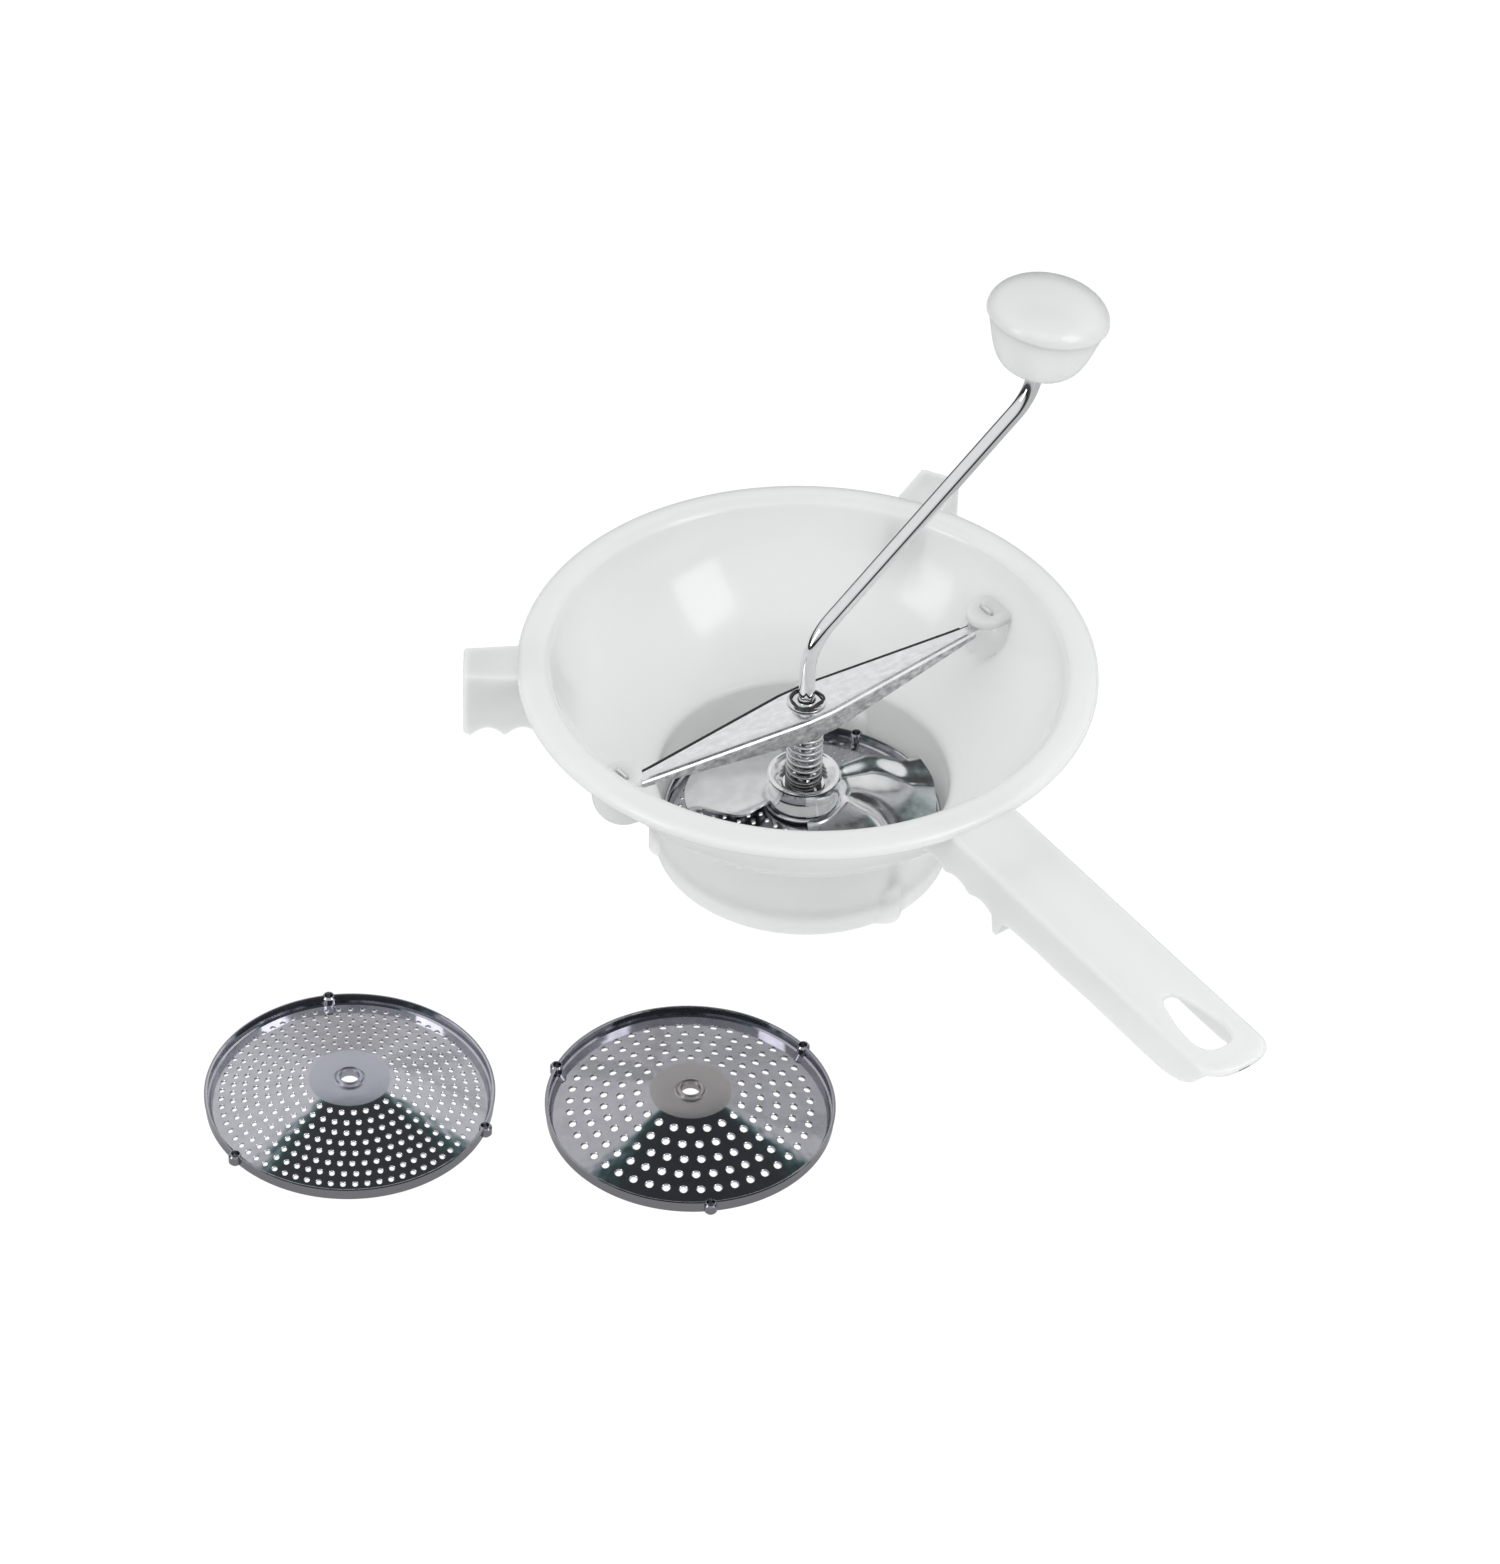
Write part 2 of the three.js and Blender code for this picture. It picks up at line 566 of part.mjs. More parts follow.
// A closed ring-shaped sheet from rows of points, the same number in each row.
function sheetFrom(rows, thickness) {
  const count = rows[0].length;
  const vertices = [];
  for (const lift of [0, thickness]) {
    for (const row of rows) for (const [x, y, z] of row) vertices.push(x, y, z + lift);
  }
  const layer = rows.length * count;
  const at = (top, row, step) => top * layer + row * count + (step % count);
  const triangles = [];
  const quad = (a, b, c, d) => triangles.push(a, b, c, a, c, d);
  const last = rows.length - 1;
  for (let step = 0; step < count; step += 1) {
    for (let row = 0; row < last; row += 1) {
      quad(at(1, row, step), at(1, row + 1, step), at(1, row + 1, step + 1), at(1, row, step + 1));
      quad(at(0, row, step), at(0, row, step + 1), at(0, row + 1, step + 1), at(0, row + 1, step));
    }
    quad(at(0, last, step), at(0, last, step + 1), at(1, last, step + 1), at(1, last, step));
    quad(at(0, 0, step), at(1, 0, step), at(1, 0, step + 1), at(0, 0, step + 1));
  }
  const geometry = new THREE.BufferGeometry();
  geometry.setAttribute('position', new THREE.Float32BufferAttribute(vertices, 3));
  geometry.setIndex(triangles);
  return geometry;
}

// ---------- discs ----------
// A shallow cone with an upstanding rim, a drawn centre hole and three lugs; base at z = 0.
function disc() {
  const t = DISC_SHEET;
  let body = turned([
    [DISC_HOLE, DISC_HUB_TOP - 2.6], [DISC_HOLE + t, DISC_HUB_TOP - 2.6], [DISC_HOLE + t, DISC_HUB_TOP - t],
    [DISC_HUB_RADIUS - 0.2, DISC_HUB_TOP - t], [DISC_RADIUS - 2.2, 0.9], [DISC_RADIUS - 1.2, 0],
    [DISC_RADIUS, 0], [DISC_RADIUS, DISC_RIM], [DISC_RADIUS - t, DISC_RIM], [DISC_RADIUS - t, t],
    [DISC_RADIUS - 1.6, t + 0.6], [DISC_HUB_RADIUS, DISC_HUB_TOP], [DISC_HOLE, DISC_HUB_TOP],
  ], 40);
  for (let i = 0; i < LUG_COUNT; i += 1) {
    const lug = block(DISC_RADIUS - 0.7, LUG_REACH, -LUG_WIDTH / 2, LUG_WIDTH / 2, 1.2, DISC_RIM);
    body = body.add(turnZ(lug, (360 / LUG_COUNT) * i));
  }
  return body;
}

// ---------- assembly ----------
const mill = new THREE.Group();
mill.add(toMesh('bowl', bowl(), moulding));
mill.add(toMesh('long_handle', besideBowl(longHandle(), 0), moulding));
mill.add(toMesh('back_hook', besideBowl(rimHook(), BACK_HOOK_ANGLE), moulding));
mill.add(toMesh('left_hook', besideBowl(rimHook(), LEFT_HOOK_ANGLE), moulding));
mill.add(toMesh('bridge', bridge(), sheetSteel));
mill.add(toMesh('bridge_bushing', bridgeBushing(), polished));
mill.add(toMesh('rod_clip', rodClip(), chrome));
mill.add(toMesh('spring_top_washer', springTopWasher(), sheetSteel));
mill.add(toMesh('spring', wire(new Coil(), SPRING_WIRE, SPRING_TURNS * 9, 5), springSteel));
mill.add(toMesh('crank_rod', wire(crank.path, ROD_RADIUS, 40, 8), chrome));
mill.add(toMesh('knob_cup', knobCup(), knobPlastic));
mill.add(toMesh('knob_cap', knobCap(), knobPlastic));
mill.add(toMesh('knob_retainer', knobRetainer(), sheetSteel));
mill.add(toMesh('spring_cup', springCup(), polished));
mill.add(toMesh('blade_hub', bladeHub(), polished));
mill.add(toMesh('blade', blade(), polished));
mill.add(toMesh('blade_rivet', bladeRivet(), polished));
mill.add(toMesh('fitted_disc', disc().translate([0, 0, LEDGE_TOP + GAP]), tinned));
for (const spare of SPARE_DISCS) {
  mill.add(toMesh(spare.name, turnZ(disc(), spare.turn).translate([spare.x, spare.y, 0]), tinned));
}

// The origin is on the table, under the middle of everything.
const box = new THREE.Box3().setFromObject(mill);
mill.position.set(-(box.min.x + box.max.x) / 2, -(box.min.y + box.max.y) / 2, -box.min.z);

const group = new THREE.Group();
group.add(mill);
export default group;
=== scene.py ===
from math import cos, exp, pi, radians, sin, sqrt

import bmesh
import bpy
from mathutils import Matrix, Vector


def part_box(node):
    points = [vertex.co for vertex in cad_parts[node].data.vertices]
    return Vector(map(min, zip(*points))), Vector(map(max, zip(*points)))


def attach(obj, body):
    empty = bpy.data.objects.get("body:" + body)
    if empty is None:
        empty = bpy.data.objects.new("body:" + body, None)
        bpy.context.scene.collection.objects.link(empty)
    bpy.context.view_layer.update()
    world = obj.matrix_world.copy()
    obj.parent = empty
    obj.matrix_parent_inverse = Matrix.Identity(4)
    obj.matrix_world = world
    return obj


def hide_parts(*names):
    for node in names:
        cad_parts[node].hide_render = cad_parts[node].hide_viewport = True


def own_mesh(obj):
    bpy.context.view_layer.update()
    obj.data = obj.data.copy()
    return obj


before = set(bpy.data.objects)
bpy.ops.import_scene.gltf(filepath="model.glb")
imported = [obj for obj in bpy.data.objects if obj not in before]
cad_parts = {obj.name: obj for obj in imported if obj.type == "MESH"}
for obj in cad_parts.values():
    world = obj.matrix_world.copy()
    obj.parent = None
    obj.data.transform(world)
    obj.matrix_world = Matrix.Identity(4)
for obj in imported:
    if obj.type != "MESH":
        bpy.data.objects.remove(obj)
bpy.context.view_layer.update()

bl_info = {
    "name": "Hand Food Mill",
    "version": (1, 0, 0),
    "blender": (4, 5, 0),
    "location": "3D View > Sidebar > Food Mill",
    "description": "Builds the pieces of a hand-cranked food mill around its packed frame",
    "category": "Object",
}

# Lengths in the shapes are millimetres from the bowl's axis on the table. Properties and node inputs
# are in metres.
MM = 0.001
CUP_LOW, CUP_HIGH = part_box("spring_cup")
AXIS = Matrix.Translation(((CUP_LOW[0] + CUP_HIGH[0]) / 2, (CUP_LOW[1] + CUP_HIGH[1]) / 2, 0))
VIEW_TURN = radians(52.5)

NECK_INNER = (61.3, 36.0)
FLARE_PULL = (96.0, 57.0)
FLARE_END = (106.5, 95.5)
BOSS_CENTRE = 94.0
BOSS_TOP = 81.0
BOSS_FLOOR = 76.4
SHELF_TAIL = 104.5
RIB_CENTRE = 57.0
BRIDGE_TOP = 75.0
REAR_EDGE = 0.6
LEDGE_TOP = 9.0
DISC_BASE = 9.3
CONE_SLOPE = 10.45 / 38.9
HUB_RADIUS = 0.0165
ARM_ANGLE = radians(85.5)
KNOB_LEAN = radians(9.5)
KNOB_FOOT = 12.5
KNOB_SPLIT = 25.5


# ---------- shaping ----------
def smooth(low, high, value):
    share = min(max((value - low) / (high - low), 0.0), 1.0)
    return share * share * (3 - 2 * share)


def mix(a, b, share):
    return a + (b - a) * share


def along(table, place):
    """The value at a place in a table of (place, value) pairs, straight between them."""
    for (x0, y0), (x1, y1) in zip(table, table[1:]):
        if place <= x1:
            return mix(y0, y1, max(place - x0, 0) / (x1 - x0))
    return table[-1][1]


def bend(start, pull, end, share):
    """A point on the curve from start to end, drawn towards pull."""
    keep = 1 - share
    return [keep * keep * a + 2 * keep * share * b + share * share * c
            for a, b, c in zip(start, pull, end)]


def arc(x, y, radius, start, end, steps):
    """Points of a round corner, from one angle to another."""
    angles = [mix(start, end, step / steps) for step in range(steps + 1)]
    return [(x + radius * cos(angle), y + radius * sin(angle)) for angle in angles]


def eased(points, rounds=2, closed=False):
    """The outline with its corners cut off, again and again, so that it runs smoothly."""
    for _ in range(rounds):
        ends = points[1:] + points[:1] if closed else points[1:]
        cut = [] if closed else [points[0]]
        for a, b in zip(points, ends):
            cut += [[mix(p, q, share) for p, q in zip(a, b)] for share in (0.25, 0.75)]
        points = cut if closed else cut + [points[-1]]
    return points


def placed(name, data):
    """An object in the scene that shows a mesh, a lamp or a camera."""
    thing = bpy.data.objects.new(name, data)
    bpy.context.scene.collection.objects.link(thing)
    return thing


def solid(name, points, faces, stand=Matrix.Identity(4)):
    """A closed mesh from points in millimetres, joined up and facing outwards."""
    scale = AXIS @ Matrix.Scale(MM, 4) @ stand
    mesh = bpy.data.meshes.new(name)
    mesh.from_pydata([scale @ Vector(point) for point in points], [], faces)
    work = bmesh.new()
    work.from_mesh(mesh)
    bmesh.ops.remove_doubles(work, verts=work.verts, dist=1e-6)
    bmesh.ops.recalc_face_normals(work, faces=work.faces)
    work.to_mesh(mesh)
    work.free()
    return placed(name, mesh)


def rings_solid(name, rings, closed=False, stand=Matrix.Identity(4)):
    """A solid through rings of points; open ends are capped."""
    count = len(rings[0])
    points = [point for ring in rings for point in ring]
    faces = []
    last = len(rings) if closed else len(rings) - 1
    for row in range(last):
        here, there = row * count, (row + 1) % len(rings) * count
        for step in range(count):
            ahead = (step + 1) % count
            faces.append((here + step, here + ahead, there + ahead, there + step))
    if not closed:
        faces.append(tuple(range(count)))
        faces.append(tuple(range(last * count, (last + 1) * count)))
    return solid(name, points, faces, stand)


def turned(name, outline, steps=96, stand=Matrix.Identity(4)):
    """A closed outline of [radius, height] turned about the upright axis."""
    spokes = arc(0, 0, 1, 0, 2 * pi, steps)[:-1]
    rings = [[(r * x, r * y, z) for r, z in outline] for x, y in spokes]
    return rings_solid(name, rings, closed=True, stand=stand)


def swept(name, path, radius, sides=24, closed=False):
    """A round bar along a path of points."""
    path = [Vector(point) for point in path]
    rings = []
    side = None
    for index, point in enumerate(path):
        before = path[index - 1] if closed or index else path[0]
        after = path[(index + 1) % len(path)] if closed or index < len(path) - 1 else path[-1]
        ahead = (after - before).normalized()
        if side is None:
            side = ahead.orthogonal().normalized()
        side = (side - ahead * side.dot(ahead)).normalized()
        other = ahead.cross(side)
        rings.append([point + x * side + y * other for x, y in arc(0, 0, radius, 0, 2 * pi, sides)[:-1]])
    return rings_solid(name, rings, closed)


def bake(piece):
    """Replaces a piece's mesh by what its modifiers make of it, and removes them."""
    graph = bpy.context.evaluated_depsgraph_get()
    result = bpy.data.meshes.new_from_object(piece.evaluated_get(graph))
    piece.modifiers.clear()
    piece.data = result


def combine(piece, other, operation="UNION"):
    """Adds the other solid to the piece, or cuts it away, and removes the other."""
    change = piece.modifiers.new("combine", "BOOLEAN")
    change.operation = operation
    change.solver = "MANIFOLD"
    change.object = other
    bake(piece)
    bpy.data.objects.remove(other)
    if not piece.data.polygons:
        raise RuntimeError(f"{piece.name} came out empty")


def complete(piece, material, body, nodes, sharp=32):
    """Shades a piece, gives it its material and ties it to the frame."""
    piece.data.materials.clear()
    piece.data.materials.append(material)
    piece.data.polygons.foreach_set("material_index", [0] * len(piece.data.polygons))
    piece.data.shade_smooth()
    piece.data.set_sharp_from_angle(angle=radians(sharp))
    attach(piece, body)
    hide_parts(*nodes)


# ---------- materials ----------
def feed(tree, socket, value):
    """Links the value to a socket, or sets the socket where the value is plain."""
    if isinstance(value, bpy.types.NodeSocket):
        tree.links.new(value, socket)
    else:
        socket.default_value = value


def add(tree, kind, *inputs, **values):
    """A node with its settings, its first inputs in order, and inputs by name after in_."""
    node = tree.nodes.new(kind)
    named = {name: values.pop(name) for name in list(values) if name.startswith("in_")}
    for name, value in values.items():
        setattr(node, name, value)
    for name, value in named.items():
        feed(tree, node.inputs[name[3:].replace("_", " ")], value)
    for socket, value in zip(node.inputs, inputs):
        feed(tree, socket, value)
    return node


def made(tree, kind, *inputs, **values):
    """The first output of a new node."""
    return add(tree, kind, *inputs, **values).outputs[0]


def object_place(tree):
    return add(tree, "ShaderNodeTexCoord").outputs["Object"]


def vector(tree, operation, *inputs, result="Vector"):
    return add(tree, "ShaderNodeVectorMath", *inputs, operation=operation).outputs[result]


def maths(tree, operation, first, second):
    return made(tree, "ShaderNodeMath", first, second, operation=operation)


def grain(tree, size, detail=3.0, stretch=(1, 1, 1)):
    """Noise on the piece's own coordinates with spots of about the given size in metres."""
    spread = made(tree, "ShaderNodeMapping", in_Vector=object_place(tree), in_Scale=stretch)
    return made(tree, "ShaderNodeTexNoise", in_Vector=spread, in_Scale=1 / size, in_Detail=detail)


def ranged(tree, value, low, high, start=0.3, end=0.7):
    return made(tree, "ShaderNodeMapRange", value, start, end, low, high)


def blended(tree, share, first, second):
    """A colour between two, by a share."""
    node = add(tree, "ShaderNodeMix", data_type="RGBA", in_Factor=share)
    for socket, colour in ((node.inputs[6], first), (node.inputs[7], second)):
        feed(tree, socket, colour if isinstance(colour, bpy.types.NodeSocket) else (*colour, 1))
    return node.outputs[2]


def raise_by(tree, shader, height, depth, strength=1.0):
    bump = made(tree, "ShaderNodeBump", in_Strength=strength, in_Distance=depth, in_Height=height)
    feed(tree, shader.inputs["Normal"], bump)


def material_with(name, metallic):
    material = bpy.data.materials.new(name)
    material.use_nodes = True
    shader = material.node_tree.nodes["Principled BSDF"]
    shader.inputs["Metallic"].default_value = metallic
    return material, material.node_tree, shader


def colour_of(tree, shader, share, first, second):
    feed(tree, shader.inputs["Base Color"], blended(tree, share, first, second))


def roughness_of(tree, shader, share, low, high):
    feed(tree, shader.inputs["Roughness"], ranged(tree, share, low, high))


def surfaced(name, metallic, spots, dark, light, streaks, low, high, lumps, depth, strength,
             spread=(0.3, 0.7)):
    """A finish from grain in its colour, in its roughness and in its small unevenness."""
    material, tree, shader = material_with(name, metallic)
    colour_of(tree, shader, ranged(tree, grain(tree, *spots), 0, 1, *spread), dark, light)
    roughness_of(tree, shader, grain(tree, *streaks), low, high)
    raise_by(tree, shader, grain(tree, *lumps), depth, strength)
    return material, shader


def moulded_plastic(name, colour, roughness):
    """Milky moulded plastic that light enters a little way."""
    darker = [0.985 * c for c in colour]
    material, shader = surfaced(name, 0.0, (0.05, 2), darker, colour, (0.03, 1), roughness - 0.012,
                                roughness + 0.012, (0.03, 1), 0.0002, 0.35)
    for socket, value in (("IOR", 1.5), ("Subsurface Weight", 0.8), ("Subsurface Radius", (1, 1, 1)),
                          ("Subsurface Scale", 0.012)):
        shader.inputs[socket].default_value = value
    return material


def plated_bar():
    return surfaced("plated_bar", 1.0, (0.004, 3), (0.78, 0.79, 0.8), (0.86, 0.87, 0.88), (0.002, 4),
                    0.03, 0.08, (0.009, 2), 0.0001, 0.15, (0, 1))[0]


def rolled_sheet(name, dark, light, roughness):
    return surfaced(name, 1.0, (0.0022, 5, (1, 0.6, 1)), dark, light, (0.0022, 4, (1, 0.3, 1)),
                    roughness - 0.08, roughness + 0.1, (0.005, 3), 0.0002, 0.5)[0]


def painted_fold_shade():
    """Painted shade where the sheet was folded: nearly black, with a dull gloss."""
    material, shader = surfaced("fold_painted_shade", 0.0, (0.002, 3), (0.012, 0.012, 0.013),
                                (0.04, 0.04, 0.042), (0.003, 3), 0.45, 0.6, (0.002, 2), 0.0001, 0.3, (0, 1))
    shader.inputs["Specular IOR Level"].default_value = 0.15
    return material


def polished_pressing(name, colour, wave, roughness=0.05):
    return surfaced(name, 1.0, (0.006, 4), [0.86 * c for c in colour], colour, (0.003, 5), roughness,
                    roughness + 0.09, (0.02, 1.5), wave, 1.0)[0]


def spring_wire():
    """Spring steel, with painted shade where it stands in the cup."""
    material, tree, shader = material_with("spring_wire", 1.0)
    height = add(tree, "ShaderNodeSeparateXYZ", object_place(tree)).outputs["Z"]
    # Painted shade: the lowest turns, down in the cup, are darker.
    colour_of(tree, shader, ranged(tree, height, 0, 1, 0.034, 0.046), (0.2, 0.2, 0.21), (0.7, 0.71, 0.72))
    roughness_of(tree, shader, grain(tree, 0.0015, 3), 0.16, 0.3)
    raise_by(tree, shader, grain(tree, 0.0008, 2), 0.00005, 0.4)
    return material


def polished_pressing(name, colour, wave, roughness=0.05):
    material, tree, shader = material_with(name, 1.0)
    darker = [0.86 * c for c in colour]
    colour_of(tree, shader, ranged(tree, grain(tree, 0.006, 4), 0, 1), darker, colour)
    roughness_of(tree, shader, grain(tree, 0.003, 5), roughness, roughness + 0.09)
    raise_by(tree, shader, grain(tree, 0.02, 1.5), wave, 1.0)
    return material


def tinned_sheet(name, centre, hub, shade):
    """Tinned sheet whose flat middle is duller than the cone round it, with painted shade on the rim's outer
    wall.
    """
    material, tree, shader = material_with(name, 1.0)
    flat = vector(tree, "MULTIPLY", object_place(tree), (1, 1, 0))
    away = vector(tree, "DISTANCE", flat, (*centre[:2], 0), result="Value")
    edge = ranged(tree, away, 0, 1, HUB_RADIUS - 0.0004, HUB_RADIUS + 0.0004)
    spots = ranged(tree, grain(tree, 0.005, 4), 0, 1)
    sheet = blended(tree, spots, [0.86 * c for c in shade], shade)
    # Painted shade: the rim's outer wall and lip are darker.
    rim_painted_shade = ranged(tree, away, 0, 1, 0.0578, 0.05795)
    colour_of(tree, shader, rim_painted_shade, blended(tree, edge, hub, sheet), (0.3, 0.3, 0.33))
    feed(tree, shader.inputs["Roughness"], ranged(tree, edge, 0.34, 0.1, 0, 1))
    raise_by(tree, shader, grain(tree, 0.014, 2), 0.0005, 0.6)
    return material


# ---------- moulded bowl, handle and rim hooks ----------
def bulge(angle, middle, reach, radius, drop):
    """How far out a rounded column or ball at reach stands, seen along an angle."""
    off = (angle - middle + pi) % (2 * pi) - pi
    if abs(off) > pi / 3:
        return 0
    left = radius ** 2 - (reach * sin(off)) ** 2 - drop ** 2
    return reach * cos(off) + (sqrt(left) if left > 0 else -sqrt(-left))


def larger(a, b, soft):
    near = max(soft - abs(a - b), 0) / soft
    return max(a, b) + near * near * soft / 4


def bowl_radius(radius, height, side, angle):
    """The wall's radius with the bridge pockets and the lug grooves pressed out of it."""
    ball = (13.0, 57.0) if side > 0 else (10.8, 59.2)
    if height < BOSS_TOP + 8 if side > 0 else height < BOSS_TOP - 2:
        drop = max(ball[1] + ball[0] - height, 0)
        for middle in (pi / 2, -pi / 2):
            pocket = bulge(angle, middle, BOSS_CENTRE - 1, ball[0], drop)
            radius = larger(radius, pocket, 1.6 if side > 0 else 3.5)
    groove = 7.4 if side > 0 else 5.2
    drop = max(height - 14.6, 0) if side > 0 else 0
    if height < 42:
        for turn in range(3):
            radius = larger(radius, bulge(angle, turn * 2 * pi / 3, RIB_CENTRE, groove, drop), 0.8)
    return radius


def bowl_outline(wall):
    """Points of (radius, height, side) round the wall; side is 1 outside, -1 inside and 0 where plain."""
    foot = NECK_INNER[0] - 2
    points = [(54.1, 6.4, 0), (foot, 6.4, 0), (foot, 0.7, 0), (foot + 0.5, 0, 0)]
    points += [(foot + wall - 0.6, 0, 1), (foot + wall, 0.6, 1)]
    points += [(foot + wall + 2 * step / 24, 1.4 * step + 0.6, 1) for step in range(1, 23)]
    start = (NECK_INNER[0] + wall, NECK_INNER[1])
    corner = [[foot + wall + 1.92, 33.0], list(start), bend(start, (98.2, 57), (108.7, 95.5), 0.09)]
    points += [(*point, 1) for point in eased(corner, 3)]
    outer = (start, (FLARE_PULL[0] + wall, 57), (FLARE_END[0] + wall, 95.5))
    points += [(*bend(*outer, step / 50), 1) for step in range(6, 46)]
    rim = [[108.3, 89.6], [109.3, 91.6], [112, 91.6], [117.8, 91.0], [120, 91.3], [120.1, 94.6],
           [118.6, 96.4], [114.6, 97.8], [110.6, 98.2], [108.0, 97.1], [106.7, 95.6]]
    points += [(*point, 0) for point in eased(rim, 2)]
    inner = (NECK_INNER, FLARE_PULL, FLARE_END)
    points += [(*bend(*inner, step / 50), -1) for step in range(49, 5, -1)]
    corner = [bend(*inner, 0.1), list(NECK_INNER), [NECK_INNER[0] - 0.35, 32.2]]
    points += [(*point, -1) for point in eased(corner, 4)]
    points += [(foot + 2 * step / 12, 9 + 2.1 * step, -1) for step in range(10, 0, -1)]
    points += [(foot, LEDGE_TOP, -1), (54.1, LEDGE_TOP, 0), (53.5, 8.5, 0), (53.5, 6.9, 0)]
    return points


def bowl_angles():
    """Even steps round the bowl, with finer ones across each pocket and groove."""
    angles = {round(2.5 * step, 3) for step in range(144)}
    for middle in (0, 120, 240, 90, 270):
        angles |= {round((middle + 0.7 * step) % 360, 3) for step in range(-15, 16)}
    kept = []
    for angle in sorted(angles):
        if not kept or angle - kept[-1] > 0.3:
            kept.append(angle)
    return [radians(angle) for angle in kept]


def bowl_shell(wall):
    rings = []
    for angle in bowl_angles():
        ring = [(bowl_radius(r, z, side, angle) if side else r, z) for r, z, side in bowl_outline(wall)]
        rings.append([(r * cos(angle), r * sin(angle), z) for r, z in ring])
    return rings_solid("moulding", rings, closed=True)


def wall_core(wall):
    """The space inside the middle of the wall, where no support may reach."""
    half = wall / 2
    flare = [bend(NECK_INNER, FLARE_PULL, FLARE_END, step / 50) for step in range(51)]
    outline = [[0, -1], [60.4, -1], [61.4, 34], *[[r + half, z] for r, z in flare], [110, 97], [110, 110],
               [0, 110]]
    return turned("core", outline, 144)


def shelf(side):
    """The half-round shelf that holds a bridge end."""
    rings = []
    for inset, height in ((0.8, 0), (0, 0.7), (0, 3.6), (0.35, 4.3), (1.1, 4.6)):
        radius = 8.5 - inset
        line = arc(0, BOSS_CENTRE, radius, pi, 2 * pi, 24) + [(radius, SHELF_TAIL), (-radius, SHELF_TAIL)]
        rings.append([(x, y, BOSS_FLOOR + height) for x, y in line])
    return rings_solid("shelf", rings, stand=Matrix.Rotation(0 if side > 0 else pi, 4, "Z"))


def slot_cutter(side):
    rings = []
    for grow, height in ((0, -2), (0, 4.0), (0.5, 4.9), (0.5, 7)):
        half = (4.2 + grow, 1.2 + grow)
        corners = [[-half[0], -half[1]], [half[0], -half[1]], [half[0], half[1]], [-half[0], half[1]]]
        rings.append([(x, side * BOSS_CENTRE + y, BOSS_FLOOR + height) for x, y in eased(corners, 1, True)])
    return rings_solid("slot", rings)


def channel_ring(x, half, low, high, corner):
    """A ring across a support: square below and rounded along its top edges."""
    corner = min(corner, half * 0.95)
    reach, level = half - corner, high - corner
    line = [(half, low), *arc(reach, level, corner, 0, pi / 2, 6), (0, high + 0.02 * half),
            *arc(-reach, level, corner, pi / 2, pi, 6), (-half, low)]
    return [(x, y, z) for y, z in line]


HANDLE_TOP = ((60, 95.3), (105, 93.9), (270, 87.2), (279, 86.9), (283, 86.5), (286, 85.9))
HANDLE_LOW = ((146.4, 71.2), (147.2, 65), (147.7, 62.9), (149.8, 62.7), (151.6, 67), (153.2, 70.6),
              (156, 72.1), (159, 72.6), (175, 72.6), (191, 71.6), (207, 71.5), (223, 70.8), (239, 69.8),
              (254, 69.4), (261, 70.2), (267, 71.9), (272.5, 75.2), (276.5, 79.6), (280, 83.9), (286, 84.0))
HANDLE_TIP = 285.0


def scalloped(place, outer, outer_height, pitch, depth, rise):
    """The lower edge of a support, in arches between teeth, from its outer tooth inwards."""
    back = (outer - place) / pitch
    if back < 0:
        return outer_height
    arch = max(sqrt(sin(pi * back) ** 2 + 0.06) - 0.245, 0) / 0.785
    return outer_height + rise * back + depth * arch ** 0.8


def handle_low(place):
    if place > 146.4:
        return along(HANDLE_LOW, place)
    return scalloped(place, 147.5, 70.9, 15.85, 2.4, 0.8)


def handle_half(place, half):
    if place < 274:
        return half
    share = min((place - 274) / (HANDLE_TIP - 274), 1)
    return half * max(1 - share ** 2.7, 0) ** (1 / 2.7)


def support_steps(start, end, step):
    count = max(int((end - start) / step), 1)
    return [mix(start, end, index / count) for index in range(count + 1)]


def long_handle(half, wall):
    rings = []
    ends = [274 + 11 * share for share in (0.2, 0.4, 0.55, 0.68, 0.78, 0.86, 0.92, 0.96, 0.985, 0.997)]
    for place in support_steps(72, 156, 0.6) + support_steps(158, 274, 2.0) + ends:
        width = max(handle_half(place, half), 0.6)
        rings.append(channel_ring(place, width, handle_low(place), along(HANDLE_TOP, place), 2.6))
    handle = rings_solid("handle", rings)
    for start, end in ((60, 147.4), (149.9, 279)):
        rings = []
        for place in support_steps(start, end - 4, 3) + [end - 2, end - 0.8, end - 0.2, end]:
            width = max(handle_half(min(place + wall + 1.5, HANDLE_TIP - 0.4), half) - wall, 0.6)
            rings.append(channel_ring(place, width, 50, along(HANDLE_TOP, place) - 2.6, 1.2))
        combine(handle, rings_solid("hollow", rings), "DIFFERENCE")
    combine(handle, hanging_hole(), "DIFFERENCE")
    return handle


def hanging_hole():
    """An egg-shaped hole through the handle's end, its edge eased at the top."""
    halves = ((237.8, 0), (238.6, 2.3), (240.8, 3.9), (246, 5.7), (254, 7.5), (259, 8.2), (264, 8.5),
              (268, 7.7), (270.8, 5.8), (272.2, 3.1), (272.6, 0))
    middle = Vector((258, -1.2))
    outline = [[x, middle.y + half] for x, half in halves]
    outline += [[x, middle.y - half] for x, half in reversed(halves[1:-1])]
    outline = eased(outline, 2, True)
    rings = []
    for grow, height in ((0, -26), (0, -1.3), (0.25, -0.6), (0.8, -0.1), (1.5, 0.3), (1.5, 8)):
        ring = []
        for x, y in outline:
            away = Vector((x, y)) - middle
            edge = middle + away * (1 + grow / away.length)
            ring.append((*edge, along(HANDLE_TOP, x) + height))
        rings.append(ring)
    return rings_solid("hole", rings)


